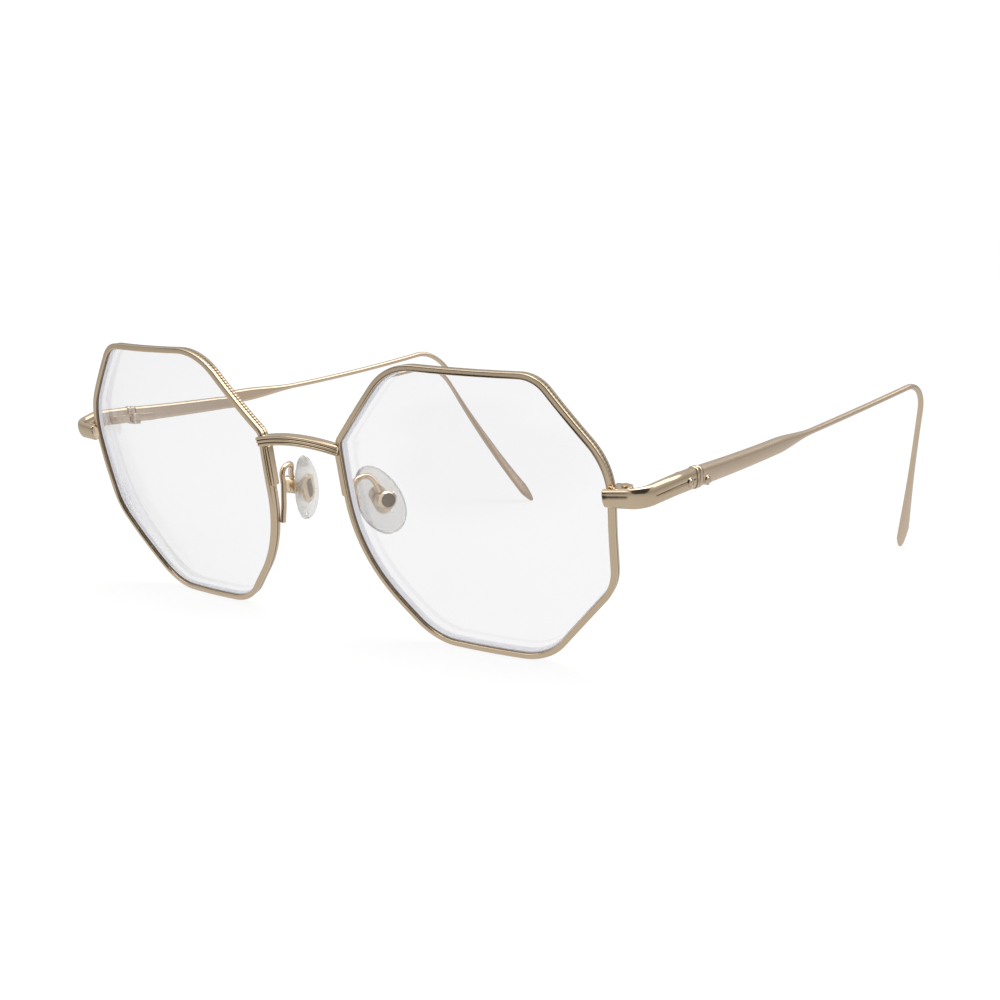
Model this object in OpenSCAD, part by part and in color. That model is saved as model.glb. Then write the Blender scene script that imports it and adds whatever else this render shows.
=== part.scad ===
// Octagonal metal spectacles with clear lenses, screw hinges and rocking nose pads.
// The front is built upright, with X across the face, Y towards the ears and Z up, and mirrored about X = 0.
// It is then leaned forward so that the rims and the temple tips rest on Z = 0.

/* [Lenses] */
// Width of a lens between its outermost corners
lens_w = 52.2; // [48:0.1:56]
// Height of a lens between its highest and lowest corners
lens_h = 49.1; // [46:0.1:53]
// Gap between the two lenses at the nose
lens_gap = 19.3; // [17:0.1:23]
// Thickness of a lens in the middle
lens_mid_t = 1.6; // [1:0.1:2.4]
// Radius of the front surface of the lens and of the rim that follows it
front_r = 126; // [100:1:300]
// Radius of the back surface of the lens
back_r = 106; // [80:1:300]
// Angle by which each lens is swept back from the nose
wrap_angle = 4.8; // [0:0.1:8]

/* [Octagon] */
// Upper inner corner, distance from the inner side
top_in = 13.5; // [11:0.1:16]
// Upper outer corner, distance from the outer side
top_out = 11.2; // [9:0.1:14]
// Drop of the upper outer corner below the upper inner one
top_fall = 1; // [0:0.1:2]
// Height of the outer upper corner above the middle
out_up = 9.6; // [8:0.1:12]
// Depth of the outer lower corner below the middle
out_low = 10.1; // [8:0.1:12]
// Inward taper of the outer side towards the bottom
out_taper = 1.8; // [0:0.1:3]
// Lower outer corner, distance from the outer side
bottom_out = 16.3; // [13:0.1:18]
// Lower inner corner, distance from the inner side
bottom_in = 13.7; // [11:0.1:16]
// Rise of the lower inner corner above the lower outer one
bottom_rise = 0.6; // [0:0.1:2]
// Height of the nasal upper corner above the middle
nose_up = 10.7; // [9:0.1:12]
// Depth of the nasal lower corner below the middle
nose_low = 9.5; // [8:0.1:12]
// Outward shift of the nasal lower corner
nose_taper = 0.4; // [0:0.1:2]
// Corner radii: upper inner
r_top_in = 12; // [4:0.1:13]
// Upper outer
r_top_out = 6.1; // [3:0.1:10]
// Outer upper
r_out_up = 12.7; // [4:0.1:14]
// Outer lower
r_out_low = 8.6; // [4:0.1:12]
// Lower outer
r_bottom_out = 11.2; // [4:0.1:12]
// Lower inner
r_bottom_in = 10.2; // [4:0.1:12]
// Nasal lower
r_nose_low = 26; // [6:0.1:30]
// Nasal upper
r_nose_up = 2; // [1.5:0.1:8]

/* [Rim] */
// Width of the rim wire seen from the front
rim_w = 1.05; // [0.8:0.05:1.6]
// Depth of the rim wire from front to back
rim_d = 1.8; // [1.5:0.05:2.6]
// Depth of the groove that holds the lens
groove_deep = 0.4; // [0.3:0.05:0.5]
// Width of the groove at its mouth
groove_w = 0.9; // [0.7:0.05:1.1]
// Play between the lens and the rim
lens_play = 0.03; // [0.02:0.01:0.1]
// Width of the line engraved along the outer face
line_w = 0.24; // [0.1:0.02:0.4]
// Height at which the rim is split for its closing block
split_z = 5.2; // [4:0.1:7]
// Width of the split
split_gap = 0.14; // [0.1:0.02:0.3]

/* [Bridge] */
// Half of the length between the two bridge ends, which lie on the fronts of the rims
bridge_half = 9.7; // [9.5:0.1:10.2]
// Height of the middle of the bridge above the middle of the lenses
bridge_z = 10.55; // [9:0.1:14]
// Drop of the bridge ends below its middle
bridge_arch = 1.2; // [0.5:0.05:3]
// Depth of the bar from front to back
bridge_d = 1.6; // [1.4:0.1:2.6]
// Height of one of its three ribs
rib_h = 0.62; // [0.6:0.02:1]
// Distance by which the bar stands in front of the rims
bridge_proud = 0.75; // [0.5:0.05:1.6]
// Forward bow of the middle of the bridge
bridge_bow = 0.5; // [0:0.1:2]
// Height of the bars on the nasal sides of the rims
nasal_bar_h = 7.5; // [4:0.1:8]
// Width of those bars
nasal_bar_w = 0.8; // [0.8:0.05:1.6]
// Depth of those bars
nasal_bar_d = 1.4; // [1:0.05:1.6]

/* [Nose pads] */
// Length of a pad
pad_len = 13.3; // [11:0.1:15]
// Width of a pad
pad_w = 7.8; // [7:0.1:9]
// Bulge of a pad towards the nose
pad_front = 1.8; // [1:0.1:2.2]
// Bulge of a pad towards its carrier
pad_back = 1; // [1:0.1:1.6]
// Distance of a pad's middle plane from its rocking axis
pad_reach = 2.5; // [2.4:0.05:3.4]
// Splay of a pad, seen from above
pad_splay = 22; // [20:1:35]
// Lean of a pad, with its top towards the nose
pad_lean = 9.5; // [2:0.2:14]
// Turn of a pad about its own face, with its top forwards
pad_roll = 14; // [0:1:20]
// Diameter of the cup that carries a pad
cup_dia = 3.2; // [2.9:0.1:3.8]
// Diameter of the pad screw
pad_screw_dia = 0.8; // [0.7:0.05:1]
// Thickness of the tab that hangs on the screw
tab_t = 0.9; // [0.7:0.05:1.1]
// Diameter of the wire of a pad arm
arm_dia = 1; // [0.8:0.05:1.2]

/* [End pieces] */
// Height of the bar across the rim
end_h = 2.8; // [2.6:0.1:4.2]
// Thickness of the bar across the rim
end_t = 1.5; // [1.2:0.1:2]
// Distance from the rim's middle line out to the bend
end_reach = 5.95; // [5:0.05:8]
// Rise of the bend above the rim split
end_rise = 0.3; // [-0.5:0.1:2]
// Radius of the bend
end_bend_r = 3.2; // [2.2:0.1:4.4]
// Distance of the hinge joint outside the rim split
joint_out = 6.9; // [6:0.1:8]
// Distance of the hinge joint behind the rim split
joint_back = 12.6; // [11:0.1:14]
// Drop of the hinge joint below the rim split
joint_drop = 1.15; // [0.4:0.1:1.6]
// Height of the end piece at the joint
end_joint_h = 3.35; // [3.2:0.05:4.2]
// Backward sweep of the end piece up to its bend
end_sweep = 0.95; // [0.6:0.05:1.6]
// Height of a closing block
block_h = 3.1; // [2.8:0.1:4.4]
// Height of its top above the rim split
block_up = 1.45; // [1.2:0.05:2]
// Depth of a closing block from front to back
block_d = 2.4; // [2.2:0.1:3]
// Length of a closing block, from the rim outwards
block_len = 3.3; // [3:0.1:4.8]
// Diameter of the rim screw
rim_screw_dia = 0.9; // [0.8:0.05:1.2]

/* [Hinge] */
// Diameter of a hinge barrel
barrel_dia = 2.2; // [2.2:0.1:2.8]
// Height of the stack of three barrels
barrel_h = 2.2; // [2:0.1:4]
// Gap between neighbouring barrels
barrel_gap = 0.05; // [0.03:0.01:0.1]
// Diameter of the hinge screw
hinge_screw_dia = 1.1; // [0.9:0.05:1.4]
// Radial play of a part that turns on its screw
turn_play = 0.04; // [0.02:0.01:0.08]
// Radial play of a screw in its thread
thread_play = 0.02; // [0.01:0.01:0.04]
// Length of a hinge leaf along the bar
leaf_len = 4.4; // [3.6:0.1:5.6]
// Drop of the barrels below the middle of the bars
hinge_drop = 0.6; // [0:0.1:0.6]
// Thickness of a hinge leaf
leaf_t = 0.9; // [0.7:0.05:1]
// Gap between the butted ends of end piece and temple
joint_gap = 0.1; // [0.06:0.02:0.2]
// Angle by which the temples slope down from square to the front
pantoscopic = 12.3; // [8:0.1:14]
// Inward angle of a temple at the hinge
toe_in = 4.6; // [2:0.1:6]

/* [Temples] */
// Length from the hinge to the start of the ear bend
temple_len = 85.5; // [80:0.1:95]
// Radius of the ear bend
ear_r = 10.9; // [8:0.1:14]
// Angle of the ear bend
ear_angle = 68.7; // [62:0.1:76]
// Length of the piece behind the ear
ear_len = 40.7; // [32:0.1:42]
// Inward lean of the piece behind the ear
ear_lean = 16.3; // [10:0.1:20]
// Further inward lean gained towards the tip
tip_lean = 2.8; // [0:0.1:5]
// Backward flare gained towards the tip
tip_flare = 9.6; // [0:0.1:12]
// Upward curve of the temple along its length
temple_rise = 5.8; // [0:0.1:7]
// Outward curve of the temple along its length
temple_bow = 5.3; // [0:0.1:7]
// Height of the bar at the hinge
bar_h = 3.3; // [3:0.1:3.8]
// Thickness of the bar
bar_t = 1.9; // [1.5:0.1:2.2]
// Height of the bar where it starts to thin
bar_end_h = 2.8; // [2.4:0.1:3.2]
// Length of the bar part
bar_len = 29.5; // [24:0.1:36]
// Length over which the bar thins to a wire
thinning_len = 15; // [10:0.1:20]
// Diameter of the wire part
wire_dia = 1.1; // [1:0.05:1.6]
// Greatest width of the blade at the tip
blade_w = 3.9; // [2.2:0.1:4.4]
// Thickness of the blade at the tip
blade_t = 0.9; // [0.7:0.05:1.2]
// Length of the pointed end of the blade
tip_len = 4.3; // [2:0.1:8]
// Twist of the blade about its own length
blade_twist = 19; // [0:1:30]
// Swelling of the bars at the butted ends
collar_h = 0.3; // [0.1:0.05:0.5]
// Diameter of the studs beside the hinge
stud_dia = 1.3; // [1:0.1:1.6]
// Height by which a stud stands out of its seat
stud_h = 0.35; // [0.25:0.05:0.5]
// Distance of the stud on the end piece from the joint
end_stud_back = 3.2; // [2.8:0.1:4]
// Distance of the stud on the temple from the joint
temple_stud_back = 2.6; // [2.4:0.1:4]
// Drop of the stud on the end piece below the middle of the bar
end_stud_low = 0.3; // [0:0.05:0.8]
// Drop of the stud on the temple below the middle of the bar
temple_stud_low = 0.8; // [0:0.05:1]

/* [Hidden] */
seat = 0.02;                // gap between pieces that are brazed or pressed together
arc_steps = 5;
round_fn = 40;

gold = [0.72, 0.62, 0.5];
satin_gold = [0.74, 0.65, 0.55];
clear = [0.9, 0.92, 0.95, 0.35];
frosted = [0.93, 0.93, 0.88, 0.6];

// Small helpers
function unit(v) = v / norm(v);
function mix(a, b, k) = a + (b - a) * k;
function clamp01(k) = min(1, max(0, k));
function ease(k) = let(c = clamp01(k)) c * c * (3 - 2 * c);
function flatten(list) = [for (part = list) each part];
function spin_y(v, a) = [v[0] * cos(a) + v[2] * sin(a), v[1], -v[0] * sin(a) + v[2] * cos(a)];
function spin_x(v, a) = [v[0], v[1] * cos(a) - v[2] * sin(a), v[1] * sin(a) + v[2] * cos(a)];
function spin_z(v, a) = [v[0] * cos(a) - v[1] * sin(a), v[0] * sin(a) + v[1] * cos(a), v[2]];

// Arc of radius r that rounds the corner p between its neighbours a and b
function corner_arc(a, p, b, r, n) =
    let(u = unit(a - p), v = unit(b - p), w = acos(u * v) / 2,
        c = p + unit(u + v) * r / sin(w), turn = 180 - 2 * w,
        e0 = p + u * r / tan(w) - c, e1 = p + v * r / tan(w) - c)
    [for (k = [0:n]) c + (sin((1 - k / n) * turn) * e0 + sin(k / n * turn) * e1) / sin(turn)];

// Open route through pts with its inner corners rounded
function rounded_route(pts, radii, n) =
    [pts[0], for (i = [1:len(pts) - 2]) each corner_arc(pts[i - 1], pts[i], pts[i + 1], radii[i - 1], n),
     pts[len(pts) - 1]];

// Ring of a section, given as side and up values, about a point
function ring(p, side, up, section) =
    let(n = len(section)) [for (k = [0:n - 1]) let(s = section[n - 1 - k]) p + side * s[0] + up * s[1]];

// Direction of a route at its point i
function heading(route, i) =
    unit(route[min(i + 1, len(route) - 1)] - route[max(i - 1, 0)]);

// Rounded section of width w and height h; power under 1 gives squarer sides
function oval(w, h, power, n) =
    [for (k = [0:n - 1]) let(a = 360 * k / n)
        [w / 2 * sign(cos(a)) * pow(abs(cos(a)), power), h / 2 * sign(sin(a)) * pow(abs(sin(a)), power)]];

module skin(rings, closed = false) {
    m = len(rings);
    n = len(rings[0]);
    last = closed ? m - 1 : m - 2;
    sides = [for (i = [0:last], j = [0:n - 1])
        let(i1 = (i + 1) % m, j1 = (j + 1) % n)
        each [[i * n + j, i1 * n + j1, i * n + j1], [i * n + j, i1 * n + j, i1 * n + j1]]];
    caps = closed ? [] : [[for (j = [0:n - 1]) j], [for (j = [0:n - 1]) (m - 1) * n + n - 1 - j]];
    polyhedron(points = flatten(rings), faces = concat(sides, caps), convexity = 6);
}

// Octagon of the rim's middle line, as X and Z of the left lens
seat_in = rim_w / 2 - groove_deep + lens_play;
in_x = lens_gap / 2 - seat_in;
out_x = lens_gap / 2 + lens_w + seat_in;
top_z = lens_h / 2 + seat_in;
lens_x = (in_x + out_x) / 2;
corners = [
    [in_x + top_in, top_z], [out_x - top_out, top_z - top_fall],
    [out_x, out_up], [out_x - out_taper, -out_low],
    [out_x - bottom_out, -top_z], [in_x + bottom_in, -top_z + bottom_rise],
    [in_x + nose_taper, -nose_low], [in_x, nose_up]
];
corner_r = [r_top_in, r_top_out, r_out_up, r_out_low, r_bottom_out, r_bottom_in, r_nose_low, r_nose_up];
function octagon_arc(i) =
    corner_arc(corners[(i + 7) % 8], corners[i % 8], corners[(i + 1) % 8], corner_r[i % 8], arc_steps);
octagon = [for (i = [0:7]) let(arc = octagon_arc(i), next = octagon_arc(i + 1)[0])
    each concat(arc, [for (k = [1:2]) mix(arc[arc_steps], next, k / 3)])];
octagon_n = len(octagon);

// Depth of the face form at X, Z, and its normal and outward directions
function depth(x, z) = tan(wrap_angle) * (x - lens_x) + (pow(x - lens_x, 2) + z * z) / (2 * front_r);
function face_normal(p) = unit([-tan(wrap_angle) - (p[0] - lens_x) / front_r, 1, -p[1] / front_r]);
function lift(p) = [p[0], depth(p[0], p[1]), p[1]];
function outward(p, before, after) =
    let(t = unit(after - before), o = [-t[1], 0, t[0]], n = face_normal(p)) unit(o - (o * n) * n);
function around(i) = octagon[(i + octagon_n) % octagon_n];
function rim_out(i) = outward(octagon[i], around(i - 1), around(i + 1));

// Rim section: outwards and backwards from its middle
rim_edge = 0.18;
rim_section = [
    [rim_w / 2, rim_edge - rim_d / 2], [rim_w / 2, -line_w / 2], [rim_w / 2 - line_w / 2, 0],
    [rim_w / 2, line_w / 2], [rim_w / 2, rim_d / 2 - rim_edge], [rim_w / 2 - rim_edge, rim_d / 2],
    [rim_edge - rim_w / 2, rim_d / 2], [-rim_w / 2, rim_d / 2 - rim_edge],
    [-rim_w / 2, groove_w / 2], [groove_deep - rim_w / 2, 0], [-rim_w / 2, -groove_w / 2],
    [-rim_w / 2, rim_edge - rim_d / 2], [rim_edge - rim_w / 2, -rim_d / 2], [rim_w / 2 - rim_edge, -rim_d / 2]
];

// The rim is an open loop from just under its split, round the lens, to just above it
split_up = split_z + split_gap / 2;
split_down = split_z - split_gap / 2;
function at_height(a, b, z) = mix(a, b, (z - a[1]) / (b[1] - a[1]));
function is_outer(i) = octagon[i][0] > lens_x;
above_i = [for (i = [0:octagon_n - 1]) let(j = (i + 1) % octagon_n)
    if (is_outer(i) && octagon[i][1] > split_up && octagon[j][1] <= split_up) i][0];
below_i = [for (i = [0:octagon_n - 1]) let(j = (i + 1) % octagon_n)
    if (is_outer(i) && octagon[i][1] >= split_down && octagon[j][1] < split_down) j][0];
end_above = at_height(octagon[above_i], octagon[above_i + 1], split_up);
end_below = at_height(octagon[below_i - 1], octagon[below_i], split_down);
loop_n = (above_i - below_i + octagon_n) % octagon_n + 1;
rim_loop = concat([end_below], [for (k = [0:loop_n - 1]) octagon[(below_i + k) % octagon_n]], [end_above]);
rim_rings = [for (i = [0:len(rim_loop) - 1])
    let(p = rim_loop[i], out = outward(p, rim_loop[max(i - 1, 0)], rim_loop[min(i + 1, len(rim_loop) - 1)]))
    ring(lift(p), out, face_normal(p), rim_section)];

// Lens: rings of the edge carried inwards over both surfaces
edge_in = -rim_w / 2 - lens_play;
lens_front = -0.15;         // front surface, measured from the middle of the rim
bevel_play = 0.07;
bevel = groove_w / 2 - bevel_play;
function edge_point(i, a, b) = lift(octagon[i]) + rim_out(i) * a + face_normal(octagon[i]) * b;
function lens_thickness(x, z) =
    lens_mid_t + (pow(x - lens_x, 2) + z * z) / 2 * (1 / back_r - 1 / front_r);
function lens_surface(x, z, back) = depth(x, z) + lens_front + (back ? lens_thickness(x, z) : 0);
function lens_edge(i, back) =
    let(e = edge_point(i, edge_in, lens_front))
    back ? edge_point(i, edge_in, lens_front + lens_thickness(e[0], e[2])) : e;
function lens_point(i, k, back) =
    let(e = lens_edge(i, back), x = mix(lens_x, e[0], k), z = k * e[2])
    [x, lens_surface(x, z, back) + (e[1] - lens_surface(e[0], e[2], back)) * k, z];
lens_rings = [
    for (k = [1 / 3, 2 / 3, 1]) [for (i = [0:octagon_n - 1]) lens_point(i, k, false)],
    [for (i = [0:octagon_n - 1]) edge_point(i, groove_deep - rim_w / 2 - lens_play, 0)],
    [for (i = [0:octagon_n - 1]) edge_point(i, edge_in, bevel)],
    for (k = [1, 2 / 3, 1 / 3]) [for (i = [0:octagon_n - 1]) lens_point(i, k, true)]
];

// Places of the rim at the split, and of the end piece that covers it
split_p = mix(end_above, end_below, 0.5);
split_out = outward(split_p, end_above, end_below);
split_back = face_normal(split_p);
split_mid = lift(split_p);
end_inset = 0.1;
end_lift = 0.15;
end_y = split_mid[1] - split_out[1] * rim_w / 2 - split_back[1] * rim_d / 2 - end_t / 2 - seat;
end_start = [split_mid[0] - rim_w / 2 + end_inset, end_y, split_z + end_lift];
end_bend = [split_mid[0] + end_reach, end_y + end_sweep, split_z + end_rise];
front_run = atan2(end_bend[1] - end_start[1], end_bend[0] - end_start[0]);

// Hinge frame: Y along the temple, Z along the screw, X outwards, origin on the screw
barrel_room = 0.05;
bar_off = bar_t / 2 + barrel_dia / 2 + barrel_room;
function from_hinge_turn(v) = spin_x(spin_z(v, toe_in), -pantoscopic);
joint_at = split_mid + [joint_out, joint_back, -joint_drop];
hinge_at = joint_at - from_hinge_turn([bar_off, 0, 0]);
function from_hinge(v) = hinge_at + from_hinge_turn(v);

module at_hinge() {
    translate(hinge_at) rotate([-pantoscopic, 0, 0]) rotate([0, 0, toe_in]) children();
}

// Section of a bar with its inner side flat, swollen by its collar on the other sides
flat_part = 0.42;
function bar_section(t, h, swell, power, flat, n) =
    [for (s = oval(t + swell, h + swell, power, n)) [max(s[0], -t * flat), s[1]]];
collar_stops = [0.15, 0.75, 0.9];
function collar(s) = s >= collar_stops[0] && s <= collar_stops[1] ? collar_h : 0;
end_power = 0.5;
bar_power = 0.7;

// End piece: across the rim, round the bend and back to the joint
end_last = from_hinge([bar_off, -joint_gap / 2, 0]);
leaf_room = 0.4;
end_sink = 0.15;
end_level = from_hinge([bar_off, -leaf_len - barrel_dia - leaf_room, -end_sink]);
end_blend_r = 10;
end_bend_arc = corner_arc(end_start, end_bend, end_level, end_bend_r, 6);
end_blend_arc = corner_arc(end_bend, end_level, end_last, end_blend_r, 3);
end_round = 0.08;
end_route = concat([end_start], [for (k = [end_round, 0.5]) mix(end_start, end_bend_arc[0], k)],
    end_bend_arc, end_blend_arc,
    [for (k = [2, 1, 0]) from_hinge([bar_off, -collar_stops[k] - joint_gap / 2, 0]), end_last]);
end_n = len(end_route);
end_nose_t = 0.72;
end_nose_h = 0.84;
function end_thickness(i) = mix(end_t, bar_t, ease((i - 3) / 7)) * (i == 0 ? end_nose_t : 1);
function end_height(i) = mix(end_h, end_joint_h, ease((i + 2) / 7)) * (i == 0 ? end_nose_h : 1);
function end_swell(i) = i >= end_n - 3 && i < end_n - 1 ? collar_h : 0;
function end_squareness(i) = mix(end_power, bar_power, ease((i - 4) / 8));
end_rings = [for (i = [0:end_n - 1])
    let(t = heading(end_route, i), side = unit(cross(t, [0, 0, 1])), up = cross(side, t),
        lower = i < 3 ? (end_t - end_thickness(i)) / 2 : 0)
    ring(end_route[i] - side * lower, side, up,
        bar_section(end_thickness(i), end_height(i), end_swell(i), end_squareness(i), flat_part, 16))];

// Temple: a direction for each length along it, added up from the joint
bend_len = ear_r * ear_angle * PI / 180;
whole_len = temple_len + bend_len + ear_len;
bow_start = 0.35;
function temple_heading(s) =
    let(run = clamp01(s / temple_len), bend = clamp01((s - temple_len) / bend_len),
        drop = clamp01((s - temple_len - bend_len) / ear_len),
        yaw = -temple_bow * max(0, run - bow_start) / (1 - bow_start),
        pitch = temple_rise * run - ear_angle * bend + tip_flare * drop,
        lean = ear_lean * bend + tip_lean * drop,
        v = [-sin(yaw) * cos(pitch), cos(yaw) * cos(pitch), sin(pitch)])
    unit(v * cos(lean) + [-1, 0, 0] * sin(lean));
temple_stops = concat(
    [0], collar_stops, [4, 10, 16, 22, 26, bar_len],
    [for (k = [1:5]) bar_len + thinning_len * k / 5],
    [for (k = [1:5]) mix(bar_len + thinning_len, temple_len, k / 5)],
    [for (k = [1:8]) temple_len + bend_len * k / 8],
    [for (k = [1:6]) temple_len + bend_len + (ear_len - tip_len) * k / 6],
    [for (k = [0.8, 0.6, 0.4, 0.22, 0.08, 0]) whole_len - tip_len * k]);
temple_n = len(temple_stops);
temple_start = [bar_off, joint_gap / 2, 0];
temple_route = [for (i = 0, p = temple_start; i < temple_n;
    p = i < temple_n - 1 ? p + temple_heading((temple_stops[i] + temple_stops[i + 1]) / 2)
        * (temple_stops[i + 1] - temple_stops[i]) : p, i = i + 1) p];

function thinning(s) = ease((s - bar_len) / thinning_len);
function blade(s) = clamp01((s - temple_len - bend_len) / (ear_len - tip_len));
tip_end = 0.12;
tip_thin = 0.4;
blade_growth = 1.35;
wire_power = 0.95;
function tip_taper(s) = mix(tip_end, 1, sqrt(clamp01((whole_len - s) / tip_len)));
function temple_h(s) =
    let(bar = mix(bar_h, bar_end_h, clamp01(s / bar_len)), thin = mix(bar, wire_dia, thinning(s)))
    mix(thin, blade_w, pow(blade(s), blade_growth)) * tip_taper(s);
function temple_t(s) =
    mix(mix(bar_t, wire_dia, thinning(s)), blade_t, blade(s)) * mix(tip_thin, 1, tip_taper(s));
function temple_section(s) = bar_section(temple_t(s), temple_h(s), collar(s),
    mix(bar_power, wire_power, thinning(s)), mix(flat_part, 0.5, thinning(s)), 12);
temple_rings = [for (i = [0:temple_n - 1])
    let(s = temple_stops[i], t = i == 0 ? [0, 1, 0] : heading(temple_route, i),
        side = unit([1, 0, 0] - ([1, 0, 0] * t) * t), up = cross(side, t),
        twist = blade_twist * ease(blade(s)))
    ring(temple_route[i], side * cos(twist) - up * sin(twist), up * cos(twist) + side * sin(twist),
        temple_section(s))];

// Bridge section: three ribs, one over another, alike at front and back
rib_valley = 0.72;
rib_turn = 60;
function rib_bulge(a) = bridge_d / 2 - (1 - cos(a)) * bridge_d * (1 - rib_valley);
function rib_side(face) = [for (row = [-1, 0, 1], a = [-rib_turn:30:rib_turn])
    face * [rib_bulge(a), row * rib_h + rib_h / 2 * sin(a) / sin(rib_turn)]];
bridge_section = concat(rib_side(1), rib_side(-1));
bridge_y = depth(in_x, bridge_z) - rim_d / 2 - bridge_proud + bridge_d / 2;
// Past bridge_step only the front of the bar goes on, lapping over the front of the rim
rim_gap = 0.23;
bridge_step = in_x - rim_w / 2 - rim_gap;
step_len = 0.06;
lap_gap = 0.2;
lap_back = bridge_d / 2 - bridge_proud + lap_gap;
bridge_span = bridge_step - step_len;
bridge_stops = concat([-bridge_half, -bridge_step],
    [for (k = [-7:7]) bridge_span * k / 7], [bridge_step, bridge_half]);
bridge_end_h = 0.9;
bridge_route = [for (x = bridge_stops) let(q = pow(x / bridge_half, 2))
    [x, bridge_y - bridge_bow * (1 - q), bridge_z - bridge_arch * q]];
function lapped(section, x) =
    abs(x) < bridge_step ? section : [for (s = section) [max(s[0], lap_back), s[1]]];
bridge_rings = [for (i = [0:len(bridge_stops) - 1])
    let(t = heading(bridge_route, i), side = unit(cross(t, [0, 0, 1])), up = cross(side, t),
        shrink = abs(bridge_stops[i]) == bridge_half ? bridge_end_h : 1)
    ring(bridge_route[i], side, up * shrink, lapped(bridge_section, bridge_stops[i]))];

// Pad frame: X away from the nose, Z along the pad, origin on the rocking axis
pad_at = [11.7, 7.15, -1.85];
function from_pad(v) = pad_at + spin_z(spin_y(spin_x(v, pad_roll), -pad_lean), -pad_splay);
module at_pad() {
    translate(pad_at) rotate([pad_roll, -pad_lean, -pad_splay]) children();
}
cup_mouth = -0.8;
cup_back = 1.5;
arm_x = -0.15;              // place of the arm's end along the cup
arm_foot = [10.12, 1.79, -6.9];
arm_points = [arm_foot, [9.75, 2.5, -3.8], [9.35, 3.1, 0.2], [9.3, 3.2, 2.95], [9.8, 6.6, 3.05],
    from_pad([arm_x, 0, 3]), from_pad([arm_x, 0, cup_dia / 2 + seat])];
arm_turns = [6, 6, 1.6, 1.6, 1];
arm_route = rounded_route(arm_points, arm_turns, 4);
arm_rings = [for (i = [0:len(arm_route) - 1])
    let(t = heading(arm_route, i), side = unit([1, 0, 0] - ([1, 0, 0] * t) * t), up = cross(side, t))
    ring(arm_route[i], side, up, oval(arm_dia, arm_dia, 1, 10))];

// Nose pad: rings from its back to its front
pad_steps = 5;
pad_turn = 88;
pad_fullness = 0.7;
pad_pear = 0.12;
pad_low = 0.2;
function pad_grow(a) = pow(cos(a), pad_fullness);
function pad_x(a) = -pad_reach - sin(a) * (a < 0 ? pad_back : pad_front);
function pad_point(a, b) = [pad_x(a), pad_w / 2 * pad_grow(a) * cos(b) * (1 - pad_pear * sin(b)),
    pad_len / 2 * pad_grow(a) * sin(b) - pad_low];
pad_rings = [for (k = [-pad_steps:pad_steps])
    [for (j = [0:23]) pad_point(pad_turn * k / pad_steps, -15 * j)]];

// Leaning forward until the rims and the temple tips touch the same level surface
function stand_height(p, a) = p[1] * sin(a) + p[2] * cos(a);
rim_all = flatten(rim_rings);
temple_all = [for (p = flatten(temple_rings)) from_hinge(p)];
function lowest(list, a) =
    let(low = min([for (p = list) stand_height(p, a)]))
    [for (p = list) if (stand_height(p, a) <= low + 0.00001) p][0];
function level(a, n) =
    n == 0 ? a : let(r = lowest(rim_all, a), t = lowest(temple_all, a))
        level(atan2(r[2] - t[2], t[1] - r[1]), n - 1);
stand_lean = level(14, 5);
stand_z = -stand_height(lowest(rim_all, stand_lean), stand_lean);
function stand_back(p) = p[1] * cos(stand_lean) - p[2] * sin(stand_lean);
front_most = min([for (p = rim_all) stand_back(p)]);
back_most = max([for (p = temple_all) stand_back(p)]);
stand_y = -(front_most + back_most) / 2;
module stand() {
    translate([0, stand_y, stand_z]) rotate([stand_lean, 0, 0]) children();
}
module left() {
    stand() children();
}
module right() {
    mirror([1, 0, 0]) stand() children();
}

module slotted_screw(dia, length, head_dia, head_h) {
    difference() {
        union() {
            translate([0, 0, -length]) cylinder(d = dia, h = length + head_h / 2, $fn = round_fn);
            cylinder(d = head_dia, h = head_h, $fn = round_fn);
        }
        translate([-head_dia, -head_h * 0.3, head_h * 0.5]) cube([head_dia * 2, head_h * 0.6, head_h]);
    }
}

module rim() {
    color(gold) skin(rim_rings);
}

module lens() {
    m = len(lens_rings);
    n = octagon_n;
    front_pole = [lens_x, depth(lens_x, 0) + lens_front, 0];
    back_pole = front_pole + [0, lens_mid_t, 0];
    sides = [for (i = [0:m - 2], j = [0:n - 1]) let(j1 = (j + 1) % n)
        each [[i * n + j, (i + 1) * n + j1, i * n + j1], [i * n + j, (i + 1) * n + j, (i + 1) * n + j1]]];
    caps = [for (j = [0:n - 1]) let(j1 = (j + 1) % n)
        each [[m * n, j, j1], [m * n + 1, (m - 1) * n + j1, (m - 1) * n + j]]];
    all = concat(flatten(lens_rings), [front_pole, back_pole]);
    color(clear) polyhedron(points = all, faces = concat(sides, caps), convexity = 4);
}

// Place on the nasal side of the rim at height z: X towards the lens, Y backwards
function nasal_mid(z) = [mix(in_x, in_x + nose_taper, (nose_up - z) / (nose_up + nose_low)), z];
nasal_taper = atan(nose_taper / (nose_up + nose_low));
nasal_wrap = atan(tan(wrap_angle) + (in_x - lens_x) / front_r);
module at_nasal(z) {
    translate(lift(nasal_mid(z))) rotate([-atan(z / front_r), -nasal_taper, nasal_wrap]) children();
}

module bridge() {
    color(gold) stand() skin(bridge_rings);
}

// Flat bar against the nasal side of the rim, just under the bridge
nasal_seat = 0.05;
nasal_top = bridge_z - bridge_arch - rib_h * 1.5 - seat;
nasal_foot_cut = 0.5;
nasal_back = 0.1;
module nasal_bar() {
    color(gold) at_nasal(nasal_top - nasal_bar_h / 2)
        translate([-rim_w / 2 - nasal_seat - nasal_bar_w, nasal_back - nasal_bar_d / 2, -nasal_bar_h / 2])
        difference() {
            cube([nasal_bar_w, nasal_bar_d, nasal_bar_h]);
            translate([0, nasal_bar_d / 2, 0]) rotate([0, 45, 0])
                cube([nasal_foot_cut, nasal_bar_d * 2, nasal_foot_cut], center = true);
        }
}

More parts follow.
